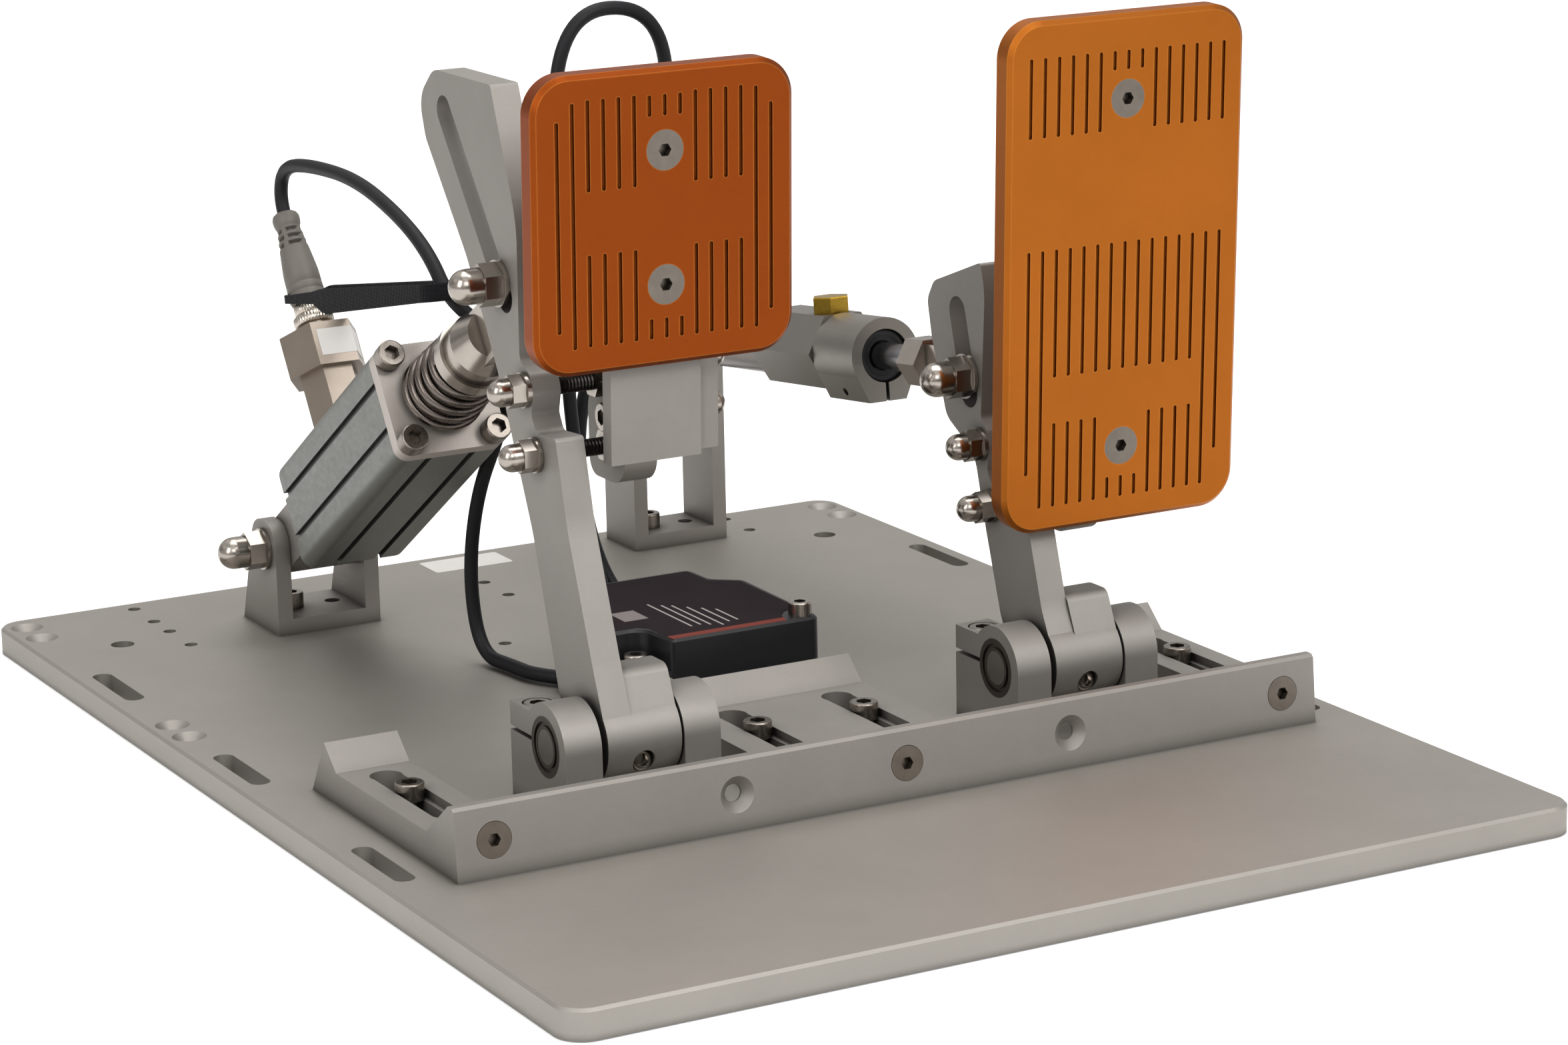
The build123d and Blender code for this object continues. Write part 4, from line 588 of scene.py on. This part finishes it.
def printed(tree, place, shader, toned):
    """The print on the film: a dark red band along its front edge, six light strokes side by side that grow
    shorter to the right, and a grey oblong, each where x and y are within half its sides of its middle."""
    split = add(tree, "SeparateXYZ", Vector=place)
    x, y = split.outputs[0], split.outputs[1]
    colour = toned
    marks = [(-0.7, -6.6, 48.0, 4.0, "#6E3C36"), (-22.5, 27.0, 9.5, 12.5, "#77716F")]
    marks += [(stroke_x, (low + high) / 2, 0.75, high - low, "#9C9693") for stroke_x, low, high in (
        (-9.7, 2.9, 37.6), (-6.0, 3.1, 33.8), (-2.9, 1.2, 31.6), (0.8, -1.4, 26.8), (4.7, 1.4, 22.8),
        (8.4, 1.9, 18.8))]
    for middle_x, middle_y, wide, high, tint in marks:
        across = add(tree, "Math", {"operation": "COMPARE"}, i0=x, i1=middle_x / 1000, i2=wide / 2000)
        along = add(tree, "Math", {"operation": "COMPARE"}, i0=y, i1=middle_y / 1000, i2=high / 2000)
        both = add(tree, "Math", {"operation": "MULTIPLY"}, i0=across.outputs[0],
                   i1=along.outputs[0]).outputs[0]
        colour = add(tree, "Mix", {"data_type": "RGBA"}, i0=both, i6=colour, i7=linear(tint)).outputs[2]
    tree.links.new(colour, shader.inputs["Base Color"])
    shader.inputs["Specular IOR Level"].default_value = 0.0


def film(name, outline, level_z, thickness):
    """A thin flat sheet: its outline at two heights, closed by a face above and below."""
    layers = [[(x, y, level_z + rise) for x, y in outline] for rise in (0.0, thickness)]
    made = grid_piece(name, np.array(layers), False)
    close_ends(made, [range(len(outline)), range(len(outline), 2 * len(outline))])
    outward(made)
    made.data.shade_flat()
    return made


lid_top, film_thickness = 40.5, 0.12
panel = film("control_box_panel", [
    (-23.2, -8.5), (22.5, -8.5), (24.0, -2.0), (27.5, 2.5), (34.3, 5.5), (34.6, 48.5), (24.9, 56.2),
    (24.4, 71.8), (-28.6, 71.8), (-29.0, 56.4), (-38.8, 48.5), (-38.8, 12.0), (-27.0, 12.0), (-24.0, 8.6)],
    lid_top, film_thickness)
print_film = finish_of("printed_panel_film", "#2B2628", 0.0, 0.6, 0.4, relief=0.004, uneven=0.06,
                       extra=printed)
add_piece(panel, print_film, "base", "lid_plastic")


# A bare white label stuck on the plate behind the box: the same coated film as
# on the sensor, cut with rounded corners.
def rounded_oblong(middle, width, height, corner, steps=8):
    """An outline about the middle: four quarter circles, with straight sides between them."""
    outline = []
    for right_side, rear_side, start in ((1, 1, 0), (-1, 1, 90), (-1, -1, 180), (1, -1, 270)):
        for step in range(steps + 1):
            angle = math.radians(start + 90 * step / steps)
            outline.append((middle[0] + right_side * (width / 2 - corner) + corner * math.cos(angle),
                            middle[1] + rear_side * (height / 2 - corner) + corner * math.sin(angle)))
    return outline


plate_top = 10.0
plate_label = film("plate_label", rounded_oblong((9.1, 236.8), 34.0, 18.0, 1.2), plate_top, film_thickness)
add_piece(plate_label, paper, "base", "grey_plastic")


# The wiper in the mouth of the damper's collar: a ring of black rubber with a
# rolled lip, pressed in, which the rod runs through.
rubber = finish_of("black_wiper_rubber", "#141416", 0.0, 0.6, 0.3, relief=0.01, uneven=0.1, patches=4.0)
rod_x, rod_y, rod_z = 96.0, -37.0, 127.7
rod_run, rod_drop = 0.9942, 0.1077


def wiper_ring(steps=72):
    """The wiper's section turned about the rod: each row is a distance along the rod and a radius, and its
    points go round by the sine and the cosine of the angle."""
    rows = []
    for along, radius in ((84.6, 9.7), (84.3, 9.0), (84.6, 7.6), (85.6, 6.6), (85.2, 5.9), (85.6, 5.4),
                          (87.3, 5.35), (87.3, 9.8), (84.9, 9.8)):
        rows.append([(rod_x + radius * math.sin(turn),
                      rod_y + rod_run * along + rod_drop * radius * math.cos(turn),
                      rod_z - rod_drop * along + rod_run * radius * math.cos(turn))
                     for turn in np.linspace(0, 2 * math.pi, steps, endpoint=False)])
    return np.array(rows)


wiper = grid_piece("rod_wiper", wiper_ring(), True)
outward(wiper)
add_piece(wiper, rubber, "damper", "black_plastic")


# The floor and the light: a wide sheet of pale paper that runs into white, a
# soft key light in front to the right, a large one overhead, and weaker ones
# in front to the left and from the left side.
def lit_paper(tree, place, shader, toned):
    """The paper sweep glows evenly to the camera, so that it runs into the white behind it."""
    shown = add(tree, "LightPath").outputs["Is Camera Ray"]
    tree.links.new(add(tree, "Math", {"operation": "MULTIPLY"}, i0=shown, i1=paper_glow).outputs[0],
                   shader.inputs["Emission Strength"])
    shader.inputs["Emission Color"].default_value = (1, 1, 1, 1)


paper_glow, floor_reach, floor_drop = 0.24, 9, 0.0004
ground = bpy.data.meshes.new("studio_floor")
floor_corners = [(x * floor_reach, y * floor_reach, -floor_drop)
                 for x, y in ((-1, -1), (1, -1), (1, 1), (-1, 1))]
ground.from_pydata(floor_corners, [], [(0, 1, 2, 3)])
floor = bpy.data.objects.new("studio_floor", ground)
bpy.context.scene.collection.objects.link(floor)
floor.data.materials.append(finish_of("pale_paper_sweep", "#F4F4F4", 0.0, 0.9, 2.0, uneven=0.004,
                                      patches=300.0, extra=lit_paper))
world = bpy.data.worlds.new("studio")
world.use_nodes = True
bpy.context.scene.world = world
tree = world.node_tree
tree.nodes.clear()
seen = add(tree, "LightPath").outputs["Is Camera Ray"]
way = add(tree, "TexCoord").outputs["Generated"]
height = add(tree, "SeparateXYZ", Vector=way).outputs[2]
bright = add(tree, "MapRange", i0=height, i1=-0.3, i2=0.7, i3=0.3, i4=1.05).outputs[0]
cloud = add(tree, "TexNoise", Vector=way, Scale=2.3, Detail=1.0).outputs["Fac"]
varied = add(tree, "MapRange", i0=cloud, i1=0.38, i2=0.62, i3=0.4, i4=1.2).outputs[0]
power = add(tree, "Math", {"operation": "MULTIPLY"}, i0=bright, i1=varied).outputs[0]
soft = add(tree, "Background", Color=linear("#F0EEEC"), Strength=power)
clear = add(tree, "Background", Color=(1, 1, 1, 1), Strength=1.0)
mixed = add(tree, "MixShader", i0=seen, i1=soft.outputs[0], i2=clear.outputs[0])
add(tree, "OutputWorld", Surface=mixed.outputs[0])


def soft_light(name, spot, aim, wide, high, power):
    """A rectangular area light at spot that faces aim."""
    data = bpy.data.lights.new(name, "AREA")
    data.shape = "RECTANGLE"
    data.size, data.size_y, data.energy = wide, high, power
    made = bpy.data.objects.new(name, data)
    facing = (Vector(aim) - Vector(spot)).to_track_quat("-Z", "Y").to_matrix().to_4x4()
    made.matrix_world = Matrix.Translation(spot) @ facing
    bpy.context.scene.collection.objects.link(made)


aimed_at = (0, 0, 0.1)
soft_light("key_light", (0.7, -2.1, 1.9), aimed_at, 1.5, 1.3, 38)
soft_light("front_light", (-0.9, -2.0, 1.5), aimed_at, 1.0, 1.0, 9)
soft_light("top_light", (0.3, 0.4, 2.4), aimed_at, 1.8, 1.8, 30)
soft_light("left_light", (-1.9, -0.7, 1.2), aimed_at, 0.8, 1.4, 14)
